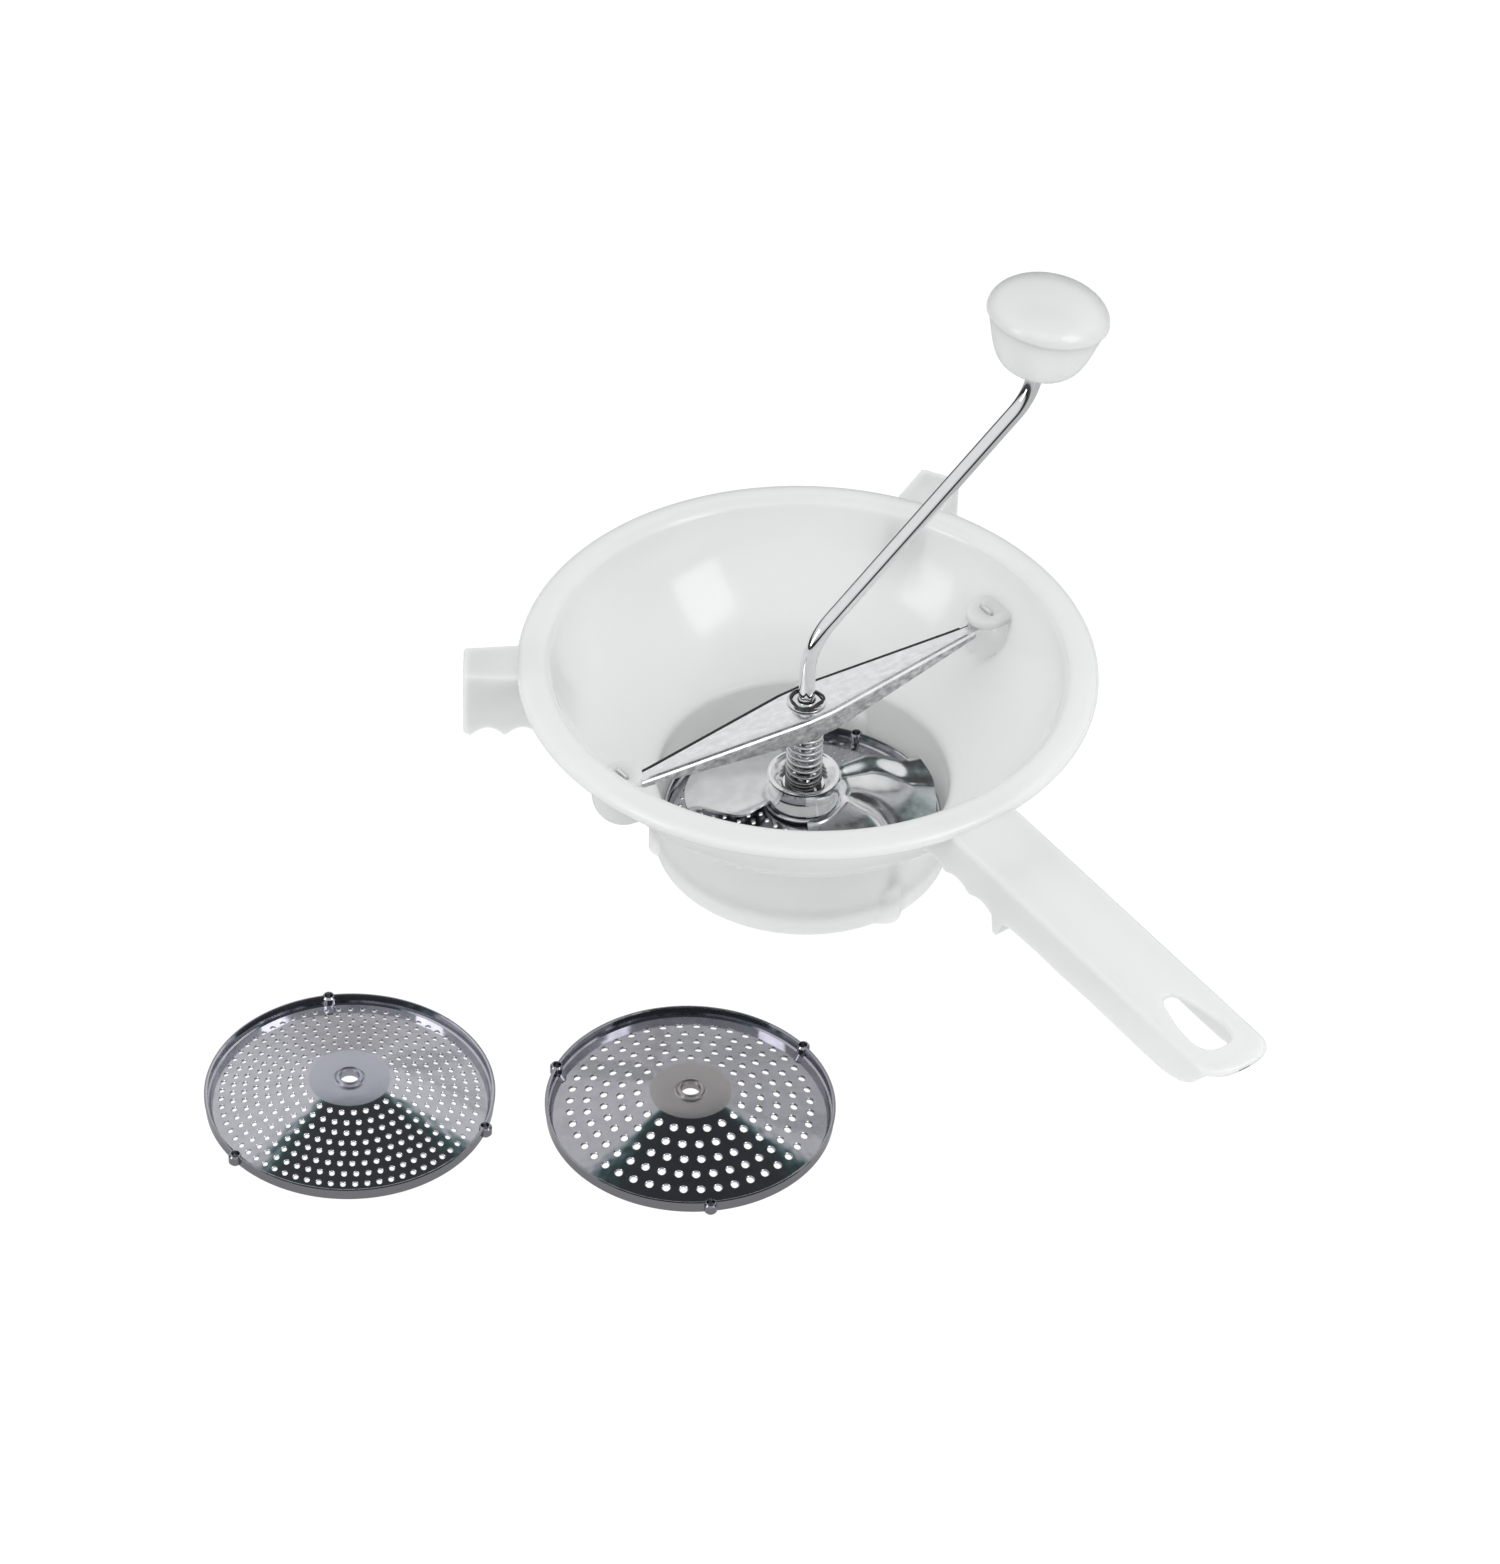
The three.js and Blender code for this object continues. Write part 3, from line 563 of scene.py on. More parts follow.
def rim_hook(angle, reach, root_half, tip_half, wall):
    rings = []
    for place in support_steps(72, reach - 1.0, 0.6) + [reach - 0.5, reach - 0.15, reach]:
        half = mix(root_half, tip_half, max(place - 118, 0) / (reach - 118))
        easing = max(place - reach + 1.0, 0)
        half -= 0.9 * easing ** 2
        top = mix(95, 94.4, max(place - 118, 0) / (reach - 118)) - 0.7 * easing ** 2
        low = scalloped(place, reach - 2.8, 63, 14.4, 3.9, 1.2)
        if place > reach - 2.8:
            low = 63 + 0.5 * (place - reach + 2.8)
        rings.append(channel_ring(place, half, low, top, 1.1))
    hook = rings_solid("hook", rings)
    rings = []
    for place in (60, 118, reach - wall):
        half = mix(root_half, tip_half, max(place - 118, 0) / (reach - 118)) - wall
        rings.append(channel_ring(place, half, 50, 95 - wall - 0.4, 0.8))
    combine(hook, rings_solid("hollow", rings), "DIFFERENCE")
    hook.data.transform(AXIS @ Matrix.Rotation(radians(angle), 4, "Z") @ AXIS.inverted())
    return hook


# ---------- bridge, bushing and clip ----------
def bridge_half(y):
    """Half the bridge's width and the radius of its folds, at a place along it."""
    half = mix(11.4, 3.6, max(abs(y) - 7, 0) / 79)
    return half, min(2.0, half * 0.45)


def bridge_section(y):
    """The sheet's outer line across the bridge, from one flange's lower edge to the other."""
    half, fold = bridge_half(y)
    depth = mix(10.4, 3.0, max(abs(y) - 7, 0) / 79)
    reach, level = half - fold, BRIDGE_TOP - fold
    line = [(-half, BRIDGE_TOP - depth), *arc(-reach, level, fold, pi, pi / 2, 5),
            (REAR_EDGE - reach, BRIDGE_TOP)]
    line += [(mix(-reach, reach, step / 6), BRIDGE_TOP) for step in range(1, 6)]
    return line + [*arc(reach, level, fold, pi / 2, 0, 5), (half, BRIDGE_TOP - depth)]


def bridge_sheet(thickness):
    rings = []
    for step in range(87):
        y = -86 + 2 * step
        outer = bridge_section(y)
        inner = []
        for index, (x, z) in enumerate(outer):
            before, after = outer[max(index - 1, 0)], outer[min(index + 1, len(outer) - 1)]
            run = Vector((after[0] - before[0], after[1] - before[1])).normalized()
            inner.append((x + run.y * thickness, z - run.x * thickness))
        rings.append([(x, y, z) for x, z in outer] + [(x, y, z) for x, z in reversed(inner)])
    sheet = rings_solid("bridge_sheet", rings)
    for side in (1, -1):
        rings = []
        for y, low, high in ((82, 73.8, 75), (90.4, 73.8, 75), (92.6, 73.9, 75.4), (93.4, 74.0, 81.4),
                             (94.6, 74.1, 81.6)):
            corners = ((-2.9, low), (2.9, low), (2.9, high), (-2.9, high))
            rings.append([(x, side * y, z) for x, z in corners])
        combine(sheet, rings_solid("tongue", rings))
    combine(sheet, turned("bore", [[0, 60], [5.4, 60], [5.4, 80], [0, 80]], 48), "DIFFERENCE")
    return sheet


def clip_loop():
    """A bent wire clip lying on the bushing, a little wider on one side of the rod."""
    shape = [(-7.2, -0.8), (-5.6, 3.4), (-3.5, 4.6), (0.5, 5.2), (4.9, 3.6), (8.1, -0.4), (4.3, -4.1),
             (1.6, -7.8), (-1.4, -9.4), (-3.8, -6.1)]
    turn = Matrix.Rotation(-VIEW_TURN, 3, "Z")
    path = [Vector((x, y, 77.2)) @ turn for x, y in eased(shape, 2, True)]
    return swept("clip_wire", path, 0.55, 10, True)


# ---------- crank ----------
def crank_line():
    """The bar's centre line, its upper bend and the knob's direction."""
    up = Vector((0, 0, 1))
    out = Vector((cos(ARM_ANGLE), sin(ARM_ANGLE), 0))
    first = up * 105
    second = out * 104 + up * 194.5
    arm = (second - first).normalized()
    lean = up * cos(KNOB_LEAN) + out * sin(KNOB_LEAN)
    path = [up * 15, up * 16, up * 50, first - up * 14]
    path += [Vector(bend(first - up * 14, first, first + arm * 14, step / 14)) for step in range(1, 15)]
    path.append(second - arm * 10)
    path += [Vector(bend(second - arm * 10, second, second + lean * 10, step / 12)) for step in range(1, 13)]
    path.append(second + lean * (KNOB_FOOT + KNOB_SPLIT + 1.5))
    return path, second, lean


def knob_stand():
    _, second, lean = crank_line()
    turn = Matrix.Rotation(ARM_ANGLE, 4, "Z") @ Matrix.Rotation(KNOB_LEAN, 4, "Y")
    return Matrix.Translation(second + lean * KNOB_FOOT) @ turn


# ---------- repeating shapes ----------
def sized_tree(name, sizes):
    """An empty node group with a mesh in and out, and one named input for each size."""
    tree = bpy.data.node_groups.new(name, "GeometryNodeTree")
    for way in ("INPUT", "OUTPUT"):
        tree.interface.new_socket("Geometry", in_out=way, socket_type="NodeSocketGeometry")
    for label, value in sizes.items():
        kind = {float: "Float", int: "Int"}.get(type(value), "Vector")
        tree.interface.new_socket(label, in_out="INPUT", socket_type="NodeSocket" + kind)
    return tree, tree.nodes.new("NodeGroupInput").outputs


def run_tree(piece, tree, sizes, geometry, material):
    """Ends the node group in one painted mesh, runs it with its sizes and keeps the plain result."""
    real = made(tree, "GeometryNodeRealizeInstances", geometry)
    add(tree, "NodeGroupOutput", made(tree, "GeometryNodeSetMaterial", real, in_Material=material))
    modifier = piece.modifiers.new(tree.name, "NODES")
    modifier.node_group = tree
    for socket in tree.interface.items_tree:
        if socket.in_out == "INPUT" and socket.name in sizes:
            modifier[socket.identifier] = sizes[socket.name]
    bake(piece)


def perforate(piece, material, hole, first_ring, pitch, first_count, rings, centre):
    """Punches rings of round holes, six more in each ring than in the one inside it."""
    sizes = {"Hole radius": hole / 2, "First ring": first_ring, "Ring pitch": pitch,
             "First count": first_count, "Centre": centre}
    tree, size = sized_tree("perforation", sizes)
    gather = add(tree, "GeometryNodeJoinGeometry")
    for ring in range(rings):
        reach = maths(tree, "MULTIPLY", size["Ring pitch"], float(ring))
        count = maths(tree, "ADD", size["First count"], 6.0 * ring)
        circle = made(tree, "GeometryNodeMeshCircle", count, maths(tree, "ADD", reach, size["First ring"]))
        turn = made(tree, "GeometryNodeTransform", circle, in_Rotation=(0, 0, 2.4 * ring))
        tree.links.new(turn, gather.inputs["Geometry"])
    hole = size["Hole radius"]
    punch = made(tree, "GeometryNodeMeshCylinder", in_Vertices=12, in_Depth=0.012, in_Radius=hole)
    flare = made(tree, "GeometryNodeMeshCone", in_Vertices=12, in_Depth=0.0016,
                 in_Radius_Top=maths(tree, "MULTIPLY", hole, 1.9),
                 in_Radius_Bottom=maths(tree, "MULTIPLY", hole, 0.5))
    sink = made(tree, "GeometryNodeTransform", flare, in_Translation=(0, 0, -0.0008))
    tool = add(tree, "GeometryNodeMeshBoolean", operation="UNION", solver="MANIFOLD")
    for part in (punch, sink):
        tree.links.new(part, tool.inputs["Mesh 2"])
    # Each punch stands square to the cone and meets it at its own height.
    place = made(tree, "GeometryNodeInputPosition")
    outwards = maths(tree, "SUBTRACT", vector(tree, "LENGTH", place, result="Value"), 0.0169)
    drop = maths(tree, "MULTIPLY", outwards, -CONE_SLOPE)
    level = made(tree, "ShaderNodeCombineXYZ", in_Z=maths(tree, "ADD", drop, 0.012))
    seat = made(tree, "GeometryNodeSetPosition", gather.outputs[0], in_Offset=level)
    tilt = vector(tree, "MULTIPLY_ADD", vector(tree, "NORMALIZE", place), (CONE_SLOPE, CONE_SLOPE, 0),
                  (0, 0, 1))
    aim = made(tree, "FunctionNodeAlignRotationToVector", axis="Z", in_Vector=tilt)
    spread = made(tree, "GeometryNodeInstanceOnPoints", seat, in_Rotation=aim, in_Instance=tool.outputs[0])
    move = made(tree, "GeometryNodeTransform", spread, in_Translation=size["Centre"])
    cut = made(tree, "GeometryNodeMeshBoolean", operation="DIFFERENCE", solver="MANIFOLD",
               in_Mesh_1=size["Geometry"], in_Mesh_2=made(tree, "GeometryNodeRealizeInstances", move))
    run_tree(piece, tree, sizes, cut, material)


def coil(piece, material, sizes_mm):
    """Winds a wire into a coil with closed ends."""
    radius, wire, turns, foot, top = sizes_mm
    closed = 2.2
    sizes = {"Coil radius": radius * MM, "Wire radius": wire * MM, "Turns": float(turns),
             "Foot": (foot + wire) * MM, "Top": (top - wire) * MM, "Closed share": closed / turns,
             "Closed height": closed * 2.15 * wire * MM}
    tree, size = sized_tree("coil", sizes)
    spiral = made(tree, "GeometryNodeCurveSpiral", in_Resolution=40, in_Height=0.0,
                  in_Rotations=size["Turns"], in_Start_Radius=size["Coil radius"],
                  in_End_Radius=size["Coil radius"])
    share = made(tree, "GeometryNodeSplineParameter")
    rest = maths(tree, "SUBTRACT", 1.0, size["Closed share"])
    between = maths(tree, "SUBTRACT", size["Top"], size["Foot"])
    open_height = maths(tree, "SUBTRACT", between, maths(tree, "MULTIPLY", size["Closed height"], 2.0))
    height = size["Foot"]
    for start, end, rise in ((0.0, size["Closed share"], size["Closed height"]),
                             (size["Closed share"], rest, open_height),
                             (rest, 1.0, size["Closed height"])):
        height = maths(tree, "ADD", height, ranged(tree, share, 0.0, rise, start, end))
    split = add(tree, "ShaderNodeSeparateXYZ", made(tree, "GeometryNodeInputPosition")).outputs
    wound = [maths(tree, "ADD", split[side], AXIS.translation[side]) for side in (0, 1)]
    lift = made(tree, "GeometryNodeSetPosition", spiral,
                in_Position=made(tree, "ShaderNodeCombineXYZ", *wound, height))
    section = made(tree, "GeometryNodeCurvePrimitiveCircle", in_Resolution=10, in_Radius=size["Wire radius"])
    skin = made(tree, "GeometryNodeCurveToMesh", lift, section, in_Fill_Caps=True)
    run_tree(piece, tree, sizes, skin, material)


# ---------- blade ----------
def cone_top(radius):
    return DISC_BASE + 12.2 - max(radius - 16.5, 0) * (10.2 / 39.5)


def wing(lead, sweep, trail, reach, thickness, trough):
    """One wing, high along its curved leading edge and falling to the disc behind it."""
    top, bottom = [], []
    across, outwards = 64, 30
    for row in range(outwards + 1):
        for step in range(across + 1):
            share = step / across
            corner = 1 - 0.07 * (1 - smooth(0, 0.1, share)) - 0.14 * smooth(0.8, 1, share)
            radius = mix(13, reach * corner, row / outwards)
            edge = lead + sweep * (1 - smooth(31, 47, radius))
            angle = radians(mix(edge, trail, share))
            low = min(cone_top(radius) + 1.4, 23.1)
            fall = 0.34 * (1 - smooth(0, 0.12, share)) + 0.66 * (1 - share) ** 1.1
            height = low + (30 - low) * fall * smooth(13, 19, radius)
            height += 0.22 * sin(0.16 * radius + 7 * share) * smooth(20, 32, radius) * (1 - share)
            if trough:
                off = (share - mix(0.36, 0.47, smooth(18, 45, radius))) / 0.055
                height -= 1.5 * exp(-off * off) * smooth(16, 24, radius) * (1 - smooth(38, 50, radius))
            x, y = radius * cos(angle), radius * sin(angle)
            top.append((x, y, height + thickness))
            bottom.append((x, y, height))
    count, width = len(top), across + 1
    faces = []
    for row in range(outwards):
        for a in range(row * width, row * width + across):
            faces.append((a, a + 1, a + width + 1, a + width))
            faces.append(tuple(count + corner for corner in (a, a + width, a + width + 1, a + 1)))
    border = list(range(width)) + [row * width + across for row in range(1, outwards + 1)]
    border += [outwards * width + step for step in range(across - 1, -1, -1)]
    border += [row * width for row in range(outwards - 1, 0, -1)]
    faces += [(a, b, count + b, count + a) for a, b in zip(border, border[1:] + border[:1])]
    return solid("wing", top + bottom, faces)


# ---------- discs ----------
def pressed_disc(name, x, y, turn, base):
    """A tinned cone with an upstanding rim, a drawn collar in its middle and three lugs."""
    stand = Matrix.Translation((x, y, base)) @ Matrix.Rotation(radians(turn), 4, "Z")
    outline = [[3.9, 9.9], [4.5, 9.9], [4.8, 11.0], [5.8, 11.4], [16.2, 11.4], [26, 8.75], [36, 6.07],
               [46, 3.38], [55.5, 0.75], [56.5, 0.05], [57.6, 0], [58, 0.5], [58, 4.5], [58.5, 4.9],
               [58.5, 5.4], [57.9, 5.5], [57.25, 5.2], [57.2, 1.4], [56.5, 0.9], [55.8, 1.55], [46, 4.18],
               [36, 6.87], [26, 9.55], [16.9, 12.0], [16.2, 12.2], [6.6, 12.2], [5.9, 12.6], [5.4, 13.6],
               [4.8, 14.0], [4.1, 13.7], [3.6, 12.6]]
    disc = turned(name, outline, 180, stand)
    outer_lug = [[0, 0.4], [1.9, 0.4], [2.6, 1.3], [2.6, 4.6], [2.1, 5.4], [0, 5.7]]
    inner_lug = [[0, 1.6], [1.05, 1.6], [1.75, 2.5], [1.75, 8], [1.25, 8.5], [0, 8.5]]
    for column, reach, operation in ((outer_lug, 58.3, "UNION"), (inner_lug, 58.0, "DIFFERENCE")):
        for lug in range(3):
            place = Matrix.Rotation(2 * pi / 3 * lug, 4, "Z") @ Matrix.Translation((reach, 0, 0))
            combine(disc, turned("lug", column, 32, stand @ place), operation)
    return disc


# ---------- settings ----------
def length(name, description, default, low, high):
    return bpy.props.FloatProperty(name=name, description=description, default=default, min=low, max=high,
                                   subtype="DISTANCE", unit="LENGTH")


def paint(name, description, default):
    return bpy.props.FloatVectorProperty(name=name, description=description, default=default, min=0, max=1,
                                         subtype="COLOR")


def power(name, description, default):
    return bpy.props.FloatProperty(name=name, description=description, default=default, min=0, unit="POWER")


class MouldingSettings(bpy.types.PropertyGroup):
    wall: length("Wall", "Thickness of the moulded walls", 0.0022, 0.0015, 0.003)
    handle_width: length("Handle width", "Width across the long handle", 0.0326, 0.028, 0.036)
    colour: paint("Plastic", "Colour of the bowl and handle", (0.77, 0.79, 0.782))
    roughness: bpy.props.FloatProperty(name="Roughness", description="Roughness of the moulded surface",
                                       default=0.14, min=0, max=1, subtype="FACTOR")


class BridgeSettings(bpy.types.PropertyGroup):
    sheet: length("Sheet", "Thickness of the bridge's sheet", 0.0012, 0.0008, 0.0016)


class CrankSettings(bpy.types.PropertyGroup):
    bar: length("Bar radius", "Radius of the crank's bar", 0.0034, 0.0025, 0.0036)
    turns: bpy.props.IntProperty(name="Coil turns", description="Turns of the spring", default=14, min=8,
                                 max=18)
    wire: length("Coil wire", "Radius of the spring's wire", 0.00078, 0.0005, 0.001)
    blade: length("Blade sheet", "Thickness of the blade", 0.0012, 0.0008, 0.0016)


class KnobSettings(bpy.types.PropertyGroup):
    colour: paint("Plastic", "Colour of the knob", (0.77, 0.788, 0.782))
    dome: length("Dome", "Height of the knob's cap", 0.014, 0.01, 0.0145)


class DiscSettings(bpy.types.PropertyGroup):
    fine: length("Fine hole", "Hole width in the fitted disc", 0.0017, 0.001, 0.0025)
    medium: length("Medium hole", "Hole width in the medium disc", 0.0022, 0.0015, 0.003)
    coarse: length("Coarse hole", "Hole width in the coarse disc", 0.0031, 0.002, 0.0045)


class StageSettings(bpy.types.PropertyGroup):
    floor: paint("Floor", "Colour of the floor", (1, 1, 1))
    sky: bpy.props.FloatProperty(name="Surroundings", description="Brightness of the surroundings",
                                 default=0.86, min=0, max=3)
    main_light: power("Main light", "Power of the right soft box", 5.0)
    side_light: power("Side light", "Power of the left soft box", 3.6)


# ---------- pieces ----------
class MILL_OT_moulding(bpy.types.Operator):
    """Moulds the bowl with its long handle and its two rim hooks"""
    bl_idname = "mill.moulding"
    bl_label = "Bowl, Handle and Hooks"

    def execute(self, context):
        sizes = context.scene.mill_moulding
        wall = sizes.wall / MM
        supports = long_handle(sizes.handle_width / MM / 2, wall)
        combine(supports, rim_hook(120, 143.5, 10.4, 8.7, wall))
        combine(supports, rim_hook(-125.5, 142.0, 10.9, 9.3, wall))
        combine(supports, wall_core(wall), "DIFFERENCE")
        piece = bowl_shell(wall)
        combine(piece, supports)
        for side in (1, -1):
            combine(piece, shelf(side))
            combine(piece, slot_cutter(side), "DIFFERENCE")
        plastic = moulded_plastic("moulded_plastic", sizes.colour, sizes.roughness)
        complete(piece, plastic, "mill", ("bowl", "long_handle", "back_hook", "left_hook"), 30)
        return {"FINISHED"}


class MILL_OT_bridge(bpy.types.Operator):
    """Folds the bridge from sheet, with its bushing and the washer above the spring"""
    bl_idname = "mill.bridge"
    bl_label = "Bridge and Bushing"

    def execute(self, context):
        thickness = context.scene.mill_bridge.sheet / MM
        sheet = rolled_sheet("rolled_sheet", (0.86, 0.87, 0.88), (0.96, 0.97, 0.98), 0.3)
        piece = bridge_sheet(thickness)
        complete(piece, sheet, "mill", ("bridge",), 28)
        # Painted shade: the upright flanges get a darker copy of the bridge's sheet.
        flange = rolled_sheet("flange_painted_shade", (0.3, 0.31, 0.32), (0.7, 0.71, 0.72), 0.26)
        piece.data.materials.append(flange)
        piece.data.materials.append(painted_fold_shade())
        for face in piece.data.polygons:
            place = (face.center - AXIS.translation) / MM
            half, fold = bridge_half(place.y)
            # Upright faces below the top take the painted shade.
            if abs(face.normal[2]) < 0.25 and place.z < BRIDGE_TOP - 1.2:
                face.material_index = 1
            # Painted shade: a near-black strip along the rear fold.
            elif abs(place.z - BRIDGE_TOP + 1.02) < 1.07 and 0 < place.x + half < fold + REAR_EDGE - 0.1:
                face.material_index = 2
        bright = polished_pressing("polished_bushing", (0.8, 0.81, 0.82), 0.0001)
        outline = [[3.75, 71.6], [5.1, 71.6], [5.1, 75.3], [7.6, 75.3], [8.1, 75.5], [8.1, 75.9],
                   [7.6, 76.2], [5.6, 76.6], [4.6, 76.7], [3.8, 76.4]]
        complete(turned("bushing", outline, 64), bright, "mill", ("bridge_bushing",))
        outline = [[5.5, 72.05], [8.5, 72.05], [8.8, 72.3], [8.8, 73.2], [8.5, 73.45], [5.5, 73.45]]
        complete(turned("spring_washer", outline, 64), sheet, "mill", ("spring_top_washer",))
        return {"FINISHED"}


class MILL_OT_spring(bpy.types.Operator):
    """Winds the spring between the bridge and the cup"""
    bl_idname = "mill.spring"
    bl_label = "Spring"

    def execute(self, context):
        sizes = context.scene.mill_crank
        piece = placed("coil_spring", bpy.data.meshes.new("coil_spring"))
        steel = spring_wire()
        coil(piece, steel, (7.0, sizes.wire / MM, sizes.turns, 31.8, 71.9))
        complete(piece, steel, "mill", ("spring",), 80)
        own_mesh(piece)
        return {"FINISHED"}


class MILL_OT_crank(bpy.types.Operator):
    """Bends the crank's bar and adds its clip, cup, hub, rivet and blade"""
    bl_idname = "mill.crank"
    bl_label = "Crank, Cup and Blade"

    def execute(self, context):
        sizes = context.scene.mill_crank
        path, _, _ = crank_line()
        bar = swept("crank_bar", path, sizes.bar / MM, 32)
        complete(bar, plated_bar(), "crank", ("crank_rod",), 40)
        # Painted shade: the clip is near-black, to outline the rod's hole in the bridge.
        dark = rolled_sheet("clip_painted_shade", (0.03, 0.03, 0.032), (0.12, 0.12, 0.125), 0.3)
        complete(clip_loop(), dark, "crank", ("rod_clip",), 80)
        bright = polished_pressing("polished_pressing", (0.86, 0.87, 0.88), 0.0003)
        cup = [[3.75, 30.95], [9.2, 30.95], [11.4, 33.0], [13.6, 35.6], [14.6, 36.1], [15.2, 36.4],
               [15.25, 36.8], [14.9, 37.1], [14.0, 37.1], [13.2, 36.8], [10.6, 33.8], [8.7, 31.75],
               [3.75, 31.7]]
        hub = [[3.75, 24.65], [15.3, 24.65], [15.9, 25.2], [15.7, 26.4], [14.6, 28.6], [14.0, 31.0],
               [14.4, 33.6], [14.9, 35.4], [14.1, 35.3], [9.6, 30.6], [3.75, 30.5]]
        rivet = [[3.75, 21.95], [6.1, 21.95], [6.45, 22.2], [6.45, 22.6], [6.2, 22.78], [3.75, 22.78]]
        complete(turned("spring_seat_cup", cup, 96), bright, "spring_seat", ("spring_cup",))
        complete(turned("hub", hub, 96), bright, "crank", ("blade_hub",), 40)
        complete(turned("rivet", rivet, 64), bright, "crank", ("blade_rivet",))
        sheet = sizes.blade / MM
        middle = [[3.75, 23.1], [16.7, 23.1], [17, 23.4], [17, 24.0], [16.7, 23.1 + sheet],
                  [3.75, 23.1 + sheet]]
        plate = turned("blade_sheet", middle, 96)
        combine(plate, wing(74.5, 16.5, -30.5, 56.0, sheet, True))
        combine(plate, wing(257.0, 17.5, 157.5, 49.5, sheet, False))
        satin = polished_pressing("blade_sheet", (0.86, 0.87, 0.88), 0.0003, 0.13)
        complete(plate, satin, "crank", ("blade",), 40)
        return {"FINISHED"}


class MILL_OT_knob(bpy.types.Operator):
    """Turns the knob's cup and cap, and paints the retainer hidden inside"""
    bl_idname = "mill.knob"
    bl_label = "Knob"

    def execute(self, context):
        sizes = context.scene.mill_knob
        plastic = moulded_plastic("knob_plastic", sizes.colour, 0.16)
        stand = knob_stand()
        side = eased([[6.4, 0], [7.4, 0.1], [12.5, 1.2], [17, 4.6], [19.8, 9.8], [21.6, 15.5], [23.2, 21],
                      [24.2, 24.4], [24.2, 25.0]], 2)
        cup = side + [[24.0, 25.2], [9, 25.2], [9, 18.9], [3.75, 18.9], [3.75, 0.4], [4.2, 0]]
        complete(turned("knob_shell", cup, 128, stand), plastic, "knob", ("knob_cup",))
        dome = sizes.dome / MM - 1
        cap = [[0, 29.5], [9, 29.5], [9, 25.5], [24.7, 25.5], [25.2, 25.7], [25.45, 26.1]]
        for across, up in arc(0, 0, 1, 0, pi / 2, 24):
            cap.append([25.5 * abs(across) ** 0.96, 26.5 + dome * up])
        cap[-1] = [0, 26.5 + dome]
        complete(turned("knob_dome", cap, 128, stand), plastic, "knob", ("knob_cap",))
        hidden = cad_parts["knob_retainer"].data.materials
        hidden.clear()
        hidden.append(rolled_sheet("retainer_sheet", (0.5, 0.51, 0.52), (0.7, 0.71, 0.72), 0.35))
        return {"FINISHED"}


class MILL_OT_discs(bpy.types.Operator):
    """Presses the fitted disc and the two spare ones, and punches their holes"""
    bl_idname = "mill.discs"
    bl_label = "Perforated Discs"

    def execute(self, context):
        sizes = context.scene.mill_discs
        close, wide = (0.0195, 0.0046, 25, 8), (0.0215, 0.00675, 20, 5)
        rows = (
            ("fine_sieve", "fitted_disc", "mill", (0, 0, 0, DISC_BASE), sizes.fine, close,
             (0.5, 0.5, 0.53), (0.52, 0.52, 0.55)),
            ("medium_sieve", "spare_disc_medium", "medium_disc", (26.5, -246, 154.7, 0), sizes.medium, close,
             (0.49, 0.5, 0.57), (0.55, 0.55, 0.6)),
            ("coarse_sieve", "spare_disc_coarse", "coarse_disc", (110.5, -137.8, 92.1, 0), sizes.coarse, wide,
             (0.43, 0.405, 0.41), (0.46, 0.455, 0.5)),
        )
        for name, node, body, (x, y, turn, base), hole, pattern, hub, shade in rows:
            piece = pressed_disc(name, x, y, turn, base)
            centre = AXIS @ Vector((x * MM, y * MM, base * MM))
            metal = tinned_sheet(name + "_metal", centre, hub, shade)
            perforate(piece, metal, hole, *pattern, centre)
            complete(piece, metal, body, (node,), 25)
        return {"FINISHED"}


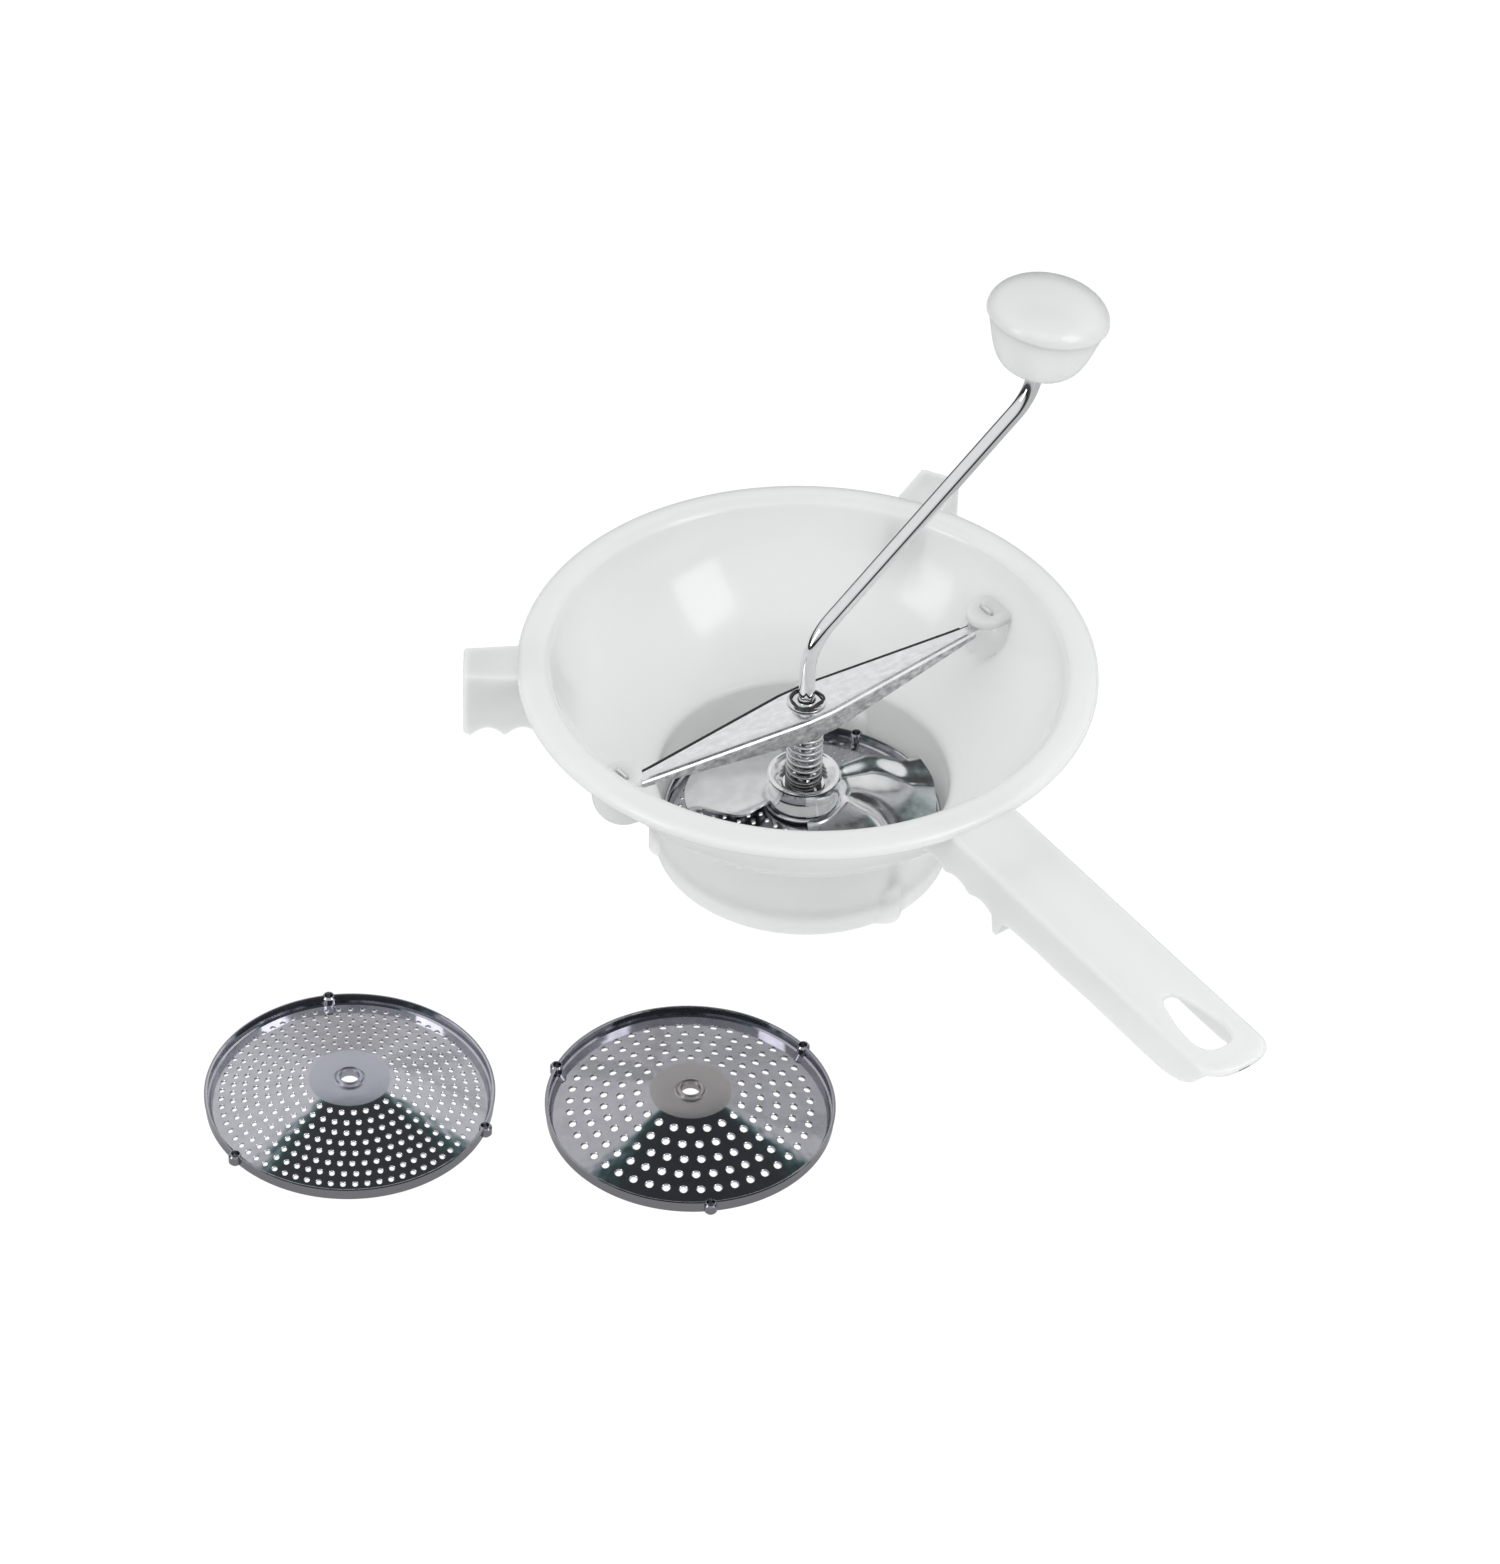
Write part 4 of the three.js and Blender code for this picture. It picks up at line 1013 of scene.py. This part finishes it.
class MILL_OT_stage(bpy.types.Operator):
    """Sets up the camera, the floor, the surroundings and the two soft boxes"""
    bl_idname = "mill.stage"
    bl_label = "Stage"

    def execute(self, context):
        scene, sizes = context.scene, context.scene.mill_stage
        lens = bpy.data.cameras.new("camera")
        lens.lens, lens.sensor_width, lens.clip_end = 161.125, 36, 50
        camera = placed("camera", lens)
        tilt = Matrix.Rotation(radians(90 - 40.125), 4, "X") @ Matrix.Rotation(radians(1.873), 4, "Z")
        camera.matrix_world = (AXIS @ Matrix.Rotation(VIEW_TURN, 4, "Z") @ tilt
                               @ Matrix.Translation((-0.02152, 0.02402, 2.948)))
        scene.camera = camera
        scene.view_settings.view_transform = "Standard"
        self.surroundings(scene, sizes.sky)
        self.floor(sizes.floor)
        self.soft_box("soft_box_right", -36, 27, (0.66, 0.86), sizes.main_light)
        self.soft_box("soft_box_left", -147, 17, (0.6, 0.7), sizes.side_light)
        return {"FINISHED"}

    def banded(self, tree, value, stops):
        """A colour for each height, straight between the stops."""
        ramp = add(tree, "ShaderNodeValToRGB", in_Fac=value)
        for place, _ in stops[2:]:
            ramp.color_ramp.elements.new(place)
        for element, (place, colour) in zip(ramp.color_ramp.elements, stops):
            element.position = place
            element.color = (*colour, 1)
        return ramp.outputs["Color"]

    def surroundings(self, scene, strength):
        """White all round, dark overhead and dark along the horizon."""
        world = bpy.data.worlds.new("surroundings")
        scene.world = world
        world.use_nodes = True
        tree = world.node_tree
        place = add(tree, "ShaderNodeTexCoord").outputs["Generated"]
        lean = radians(6.3)
        cap = Matrix.Rotation(VIEW_TURN, 3, "Z") @ Vector((sin(lean), 0, cos(lean)))
        high = self.banded(tree, vector(tree, "DOT_PRODUCT", place, cap, result="Value"), (
            (0.0, (1, 1, 1)), (0.3, (1, 1, 1)), (0.79, (1, 1, 1)), (0.812, (0.3, 0.42, 0.41)),
            (0.83, (0.05, 0.13, 0.12)), (0.86, (0.075, 0.085, 0.085)), (1.0, (0.07, 0.07, 0.075))))
        level = add(tree, "ShaderNodeSeparateXYZ", place).outputs["Z"]
        greys = ((0.0, 0.5), (0.46, 0.03), (0.55, 0.03), (0.585, 0.6), (0.65, 0.85), (0.73, 1.0))
        low = self.banded(tree, ranged(tree, level, 0, 1, -1, 1), [(at, (grey,) * 3) for at, grey in greys])
        both = vector(tree, "MULTIPLY", high, low)
        ray = add(tree, "ShaderNodeLightPath").outputs
        even = blended(tree, ray["Is Diffuse Ray"], both, (1, 1, 1))
        sky = tree.nodes["Background"].inputs
        feed(tree, sky["Color"], even)
        feed(tree, sky["Strength"], strength)

    def floor(self, colour):
        """A pale floor that is darker near the mill in reflections."""
        mesh = bpy.data.meshes.new("floor")
        mesh.from_pydata([(-6, -6, 0), (6, -6, 0), (6, 6, 0), (-6, 6, 0)], [], [(0, 1, 2, 3)])
        material, tree, shader = material_with("floor_paint", 0.0)
        ray = add(tree, "ShaderNodeLightPath").outputs
        seen = ranged(tree, ray["Is Camera Ray"], 0.86, 1.0, 0, 1)
        away = vector(tree, "LENGTH", object_place(tree), result="Value")
        less = maths(tree, "MULTIPLY", ray["Is Glossy Ray"], ranged(tree, away, 0.36, 0.84, 0.6, 1.0))
        for socket, value in (("Base Color", (0.05, 0.05, 0.05, 1)), ("Roughness", 1),
                              ("Specular IOR Level", 0), ("Emission Color", (*colour, 1)),
                              ("Emission Strength", maths(tree, "SUBTRACT", seen, less))):
            feed(tree, shader.inputs[socket], value)
        mesh.materials.append(material)
        placed("floor", mesh)

    def soft_box(self, name, azimuth, elevation, size, power):
        """A broad light facing the bowl, at an azimuth from the camera's right."""
        light = bpy.data.lights.new(name, "AREA")
        light.shape = "RECTANGLE"
        light.size, light.size_y = size
        light.energy = power
        lamp = placed(name, light)
        turn, rise = radians(azimuth) + VIEW_TURN, radians(elevation)
        away = Vector((cos(turn) * cos(rise), sin(turn) * cos(rise), sin(rise)))
        lamp.location = AXIS.translation + away * 1.6 + Vector((0, 0, 0.07))
        lamp.rotation_euler = away.to_track_quat("Z", "Y").to_euler()


class MILL_PT_panel(bpy.types.Panel):
    """Sizes and colours of the food mill, with a button for each group of pieces"""
    bl_idname = "MILL_PT_panel"
    bl_label = "Food Mill"
    bl_space_type = "VIEW_3D"
    bl_region_type = "UI"
    bl_category = "Food Mill"

    def draw(self, context):
        for settings, operator in GROUPS:
            box = self.layout.box()
            group = getattr(context.scene, settings)
            for name in group.__annotations__:
                box.prop(group, name)
            box.operator(operator)


GROUPS = (
    ("mill_stage", "mill.stage"),
    ("mill_moulding", "mill.moulding"),
    ("mill_bridge", "mill.bridge"),
    ("mill_crank", "mill.spring"),
    ("mill_crank", "mill.crank"),
    ("mill_knob", "mill.knob"),
    ("mill_discs", "mill.discs"),
)
SETTINGS = {
    "mill_stage": StageSettings, "mill_moulding": MouldingSettings, "mill_bridge": BridgeSettings,
    "mill_crank": CrankSettings, "mill_knob": KnobSettings, "mill_discs": DiscSettings,
}
CLASSES = (
    *SETTINGS.values(), MILL_OT_stage, MILL_OT_moulding, MILL_OT_bridge, MILL_OT_spring, MILL_OT_crank,
    MILL_OT_knob, MILL_OT_discs, MILL_PT_panel,
)


def register():
    for item in CLASSES:
        bpy.utils.register_class(item)
    for name, group in SETTINGS.items():
        setattr(bpy.types.Scene, name, bpy.props.PointerProperty(type=group))


def unregister():
    for name in SETTINGS:
        delattr(bpy.types.Scene, name)
    for item in reversed(CLASSES):
        bpy.utils.unregister_class(item)


def main():
    register()
    bpy.ops.mill.stage()
    bpy.ops.mill.moulding()
    bpy.ops.mill.bridge()
    bpy.ops.mill.spring()
    bpy.ops.mill.crank()
    bpy.ops.mill.knob()
    bpy.ops.mill.discs()


if __name__ == "__main__":
    main()
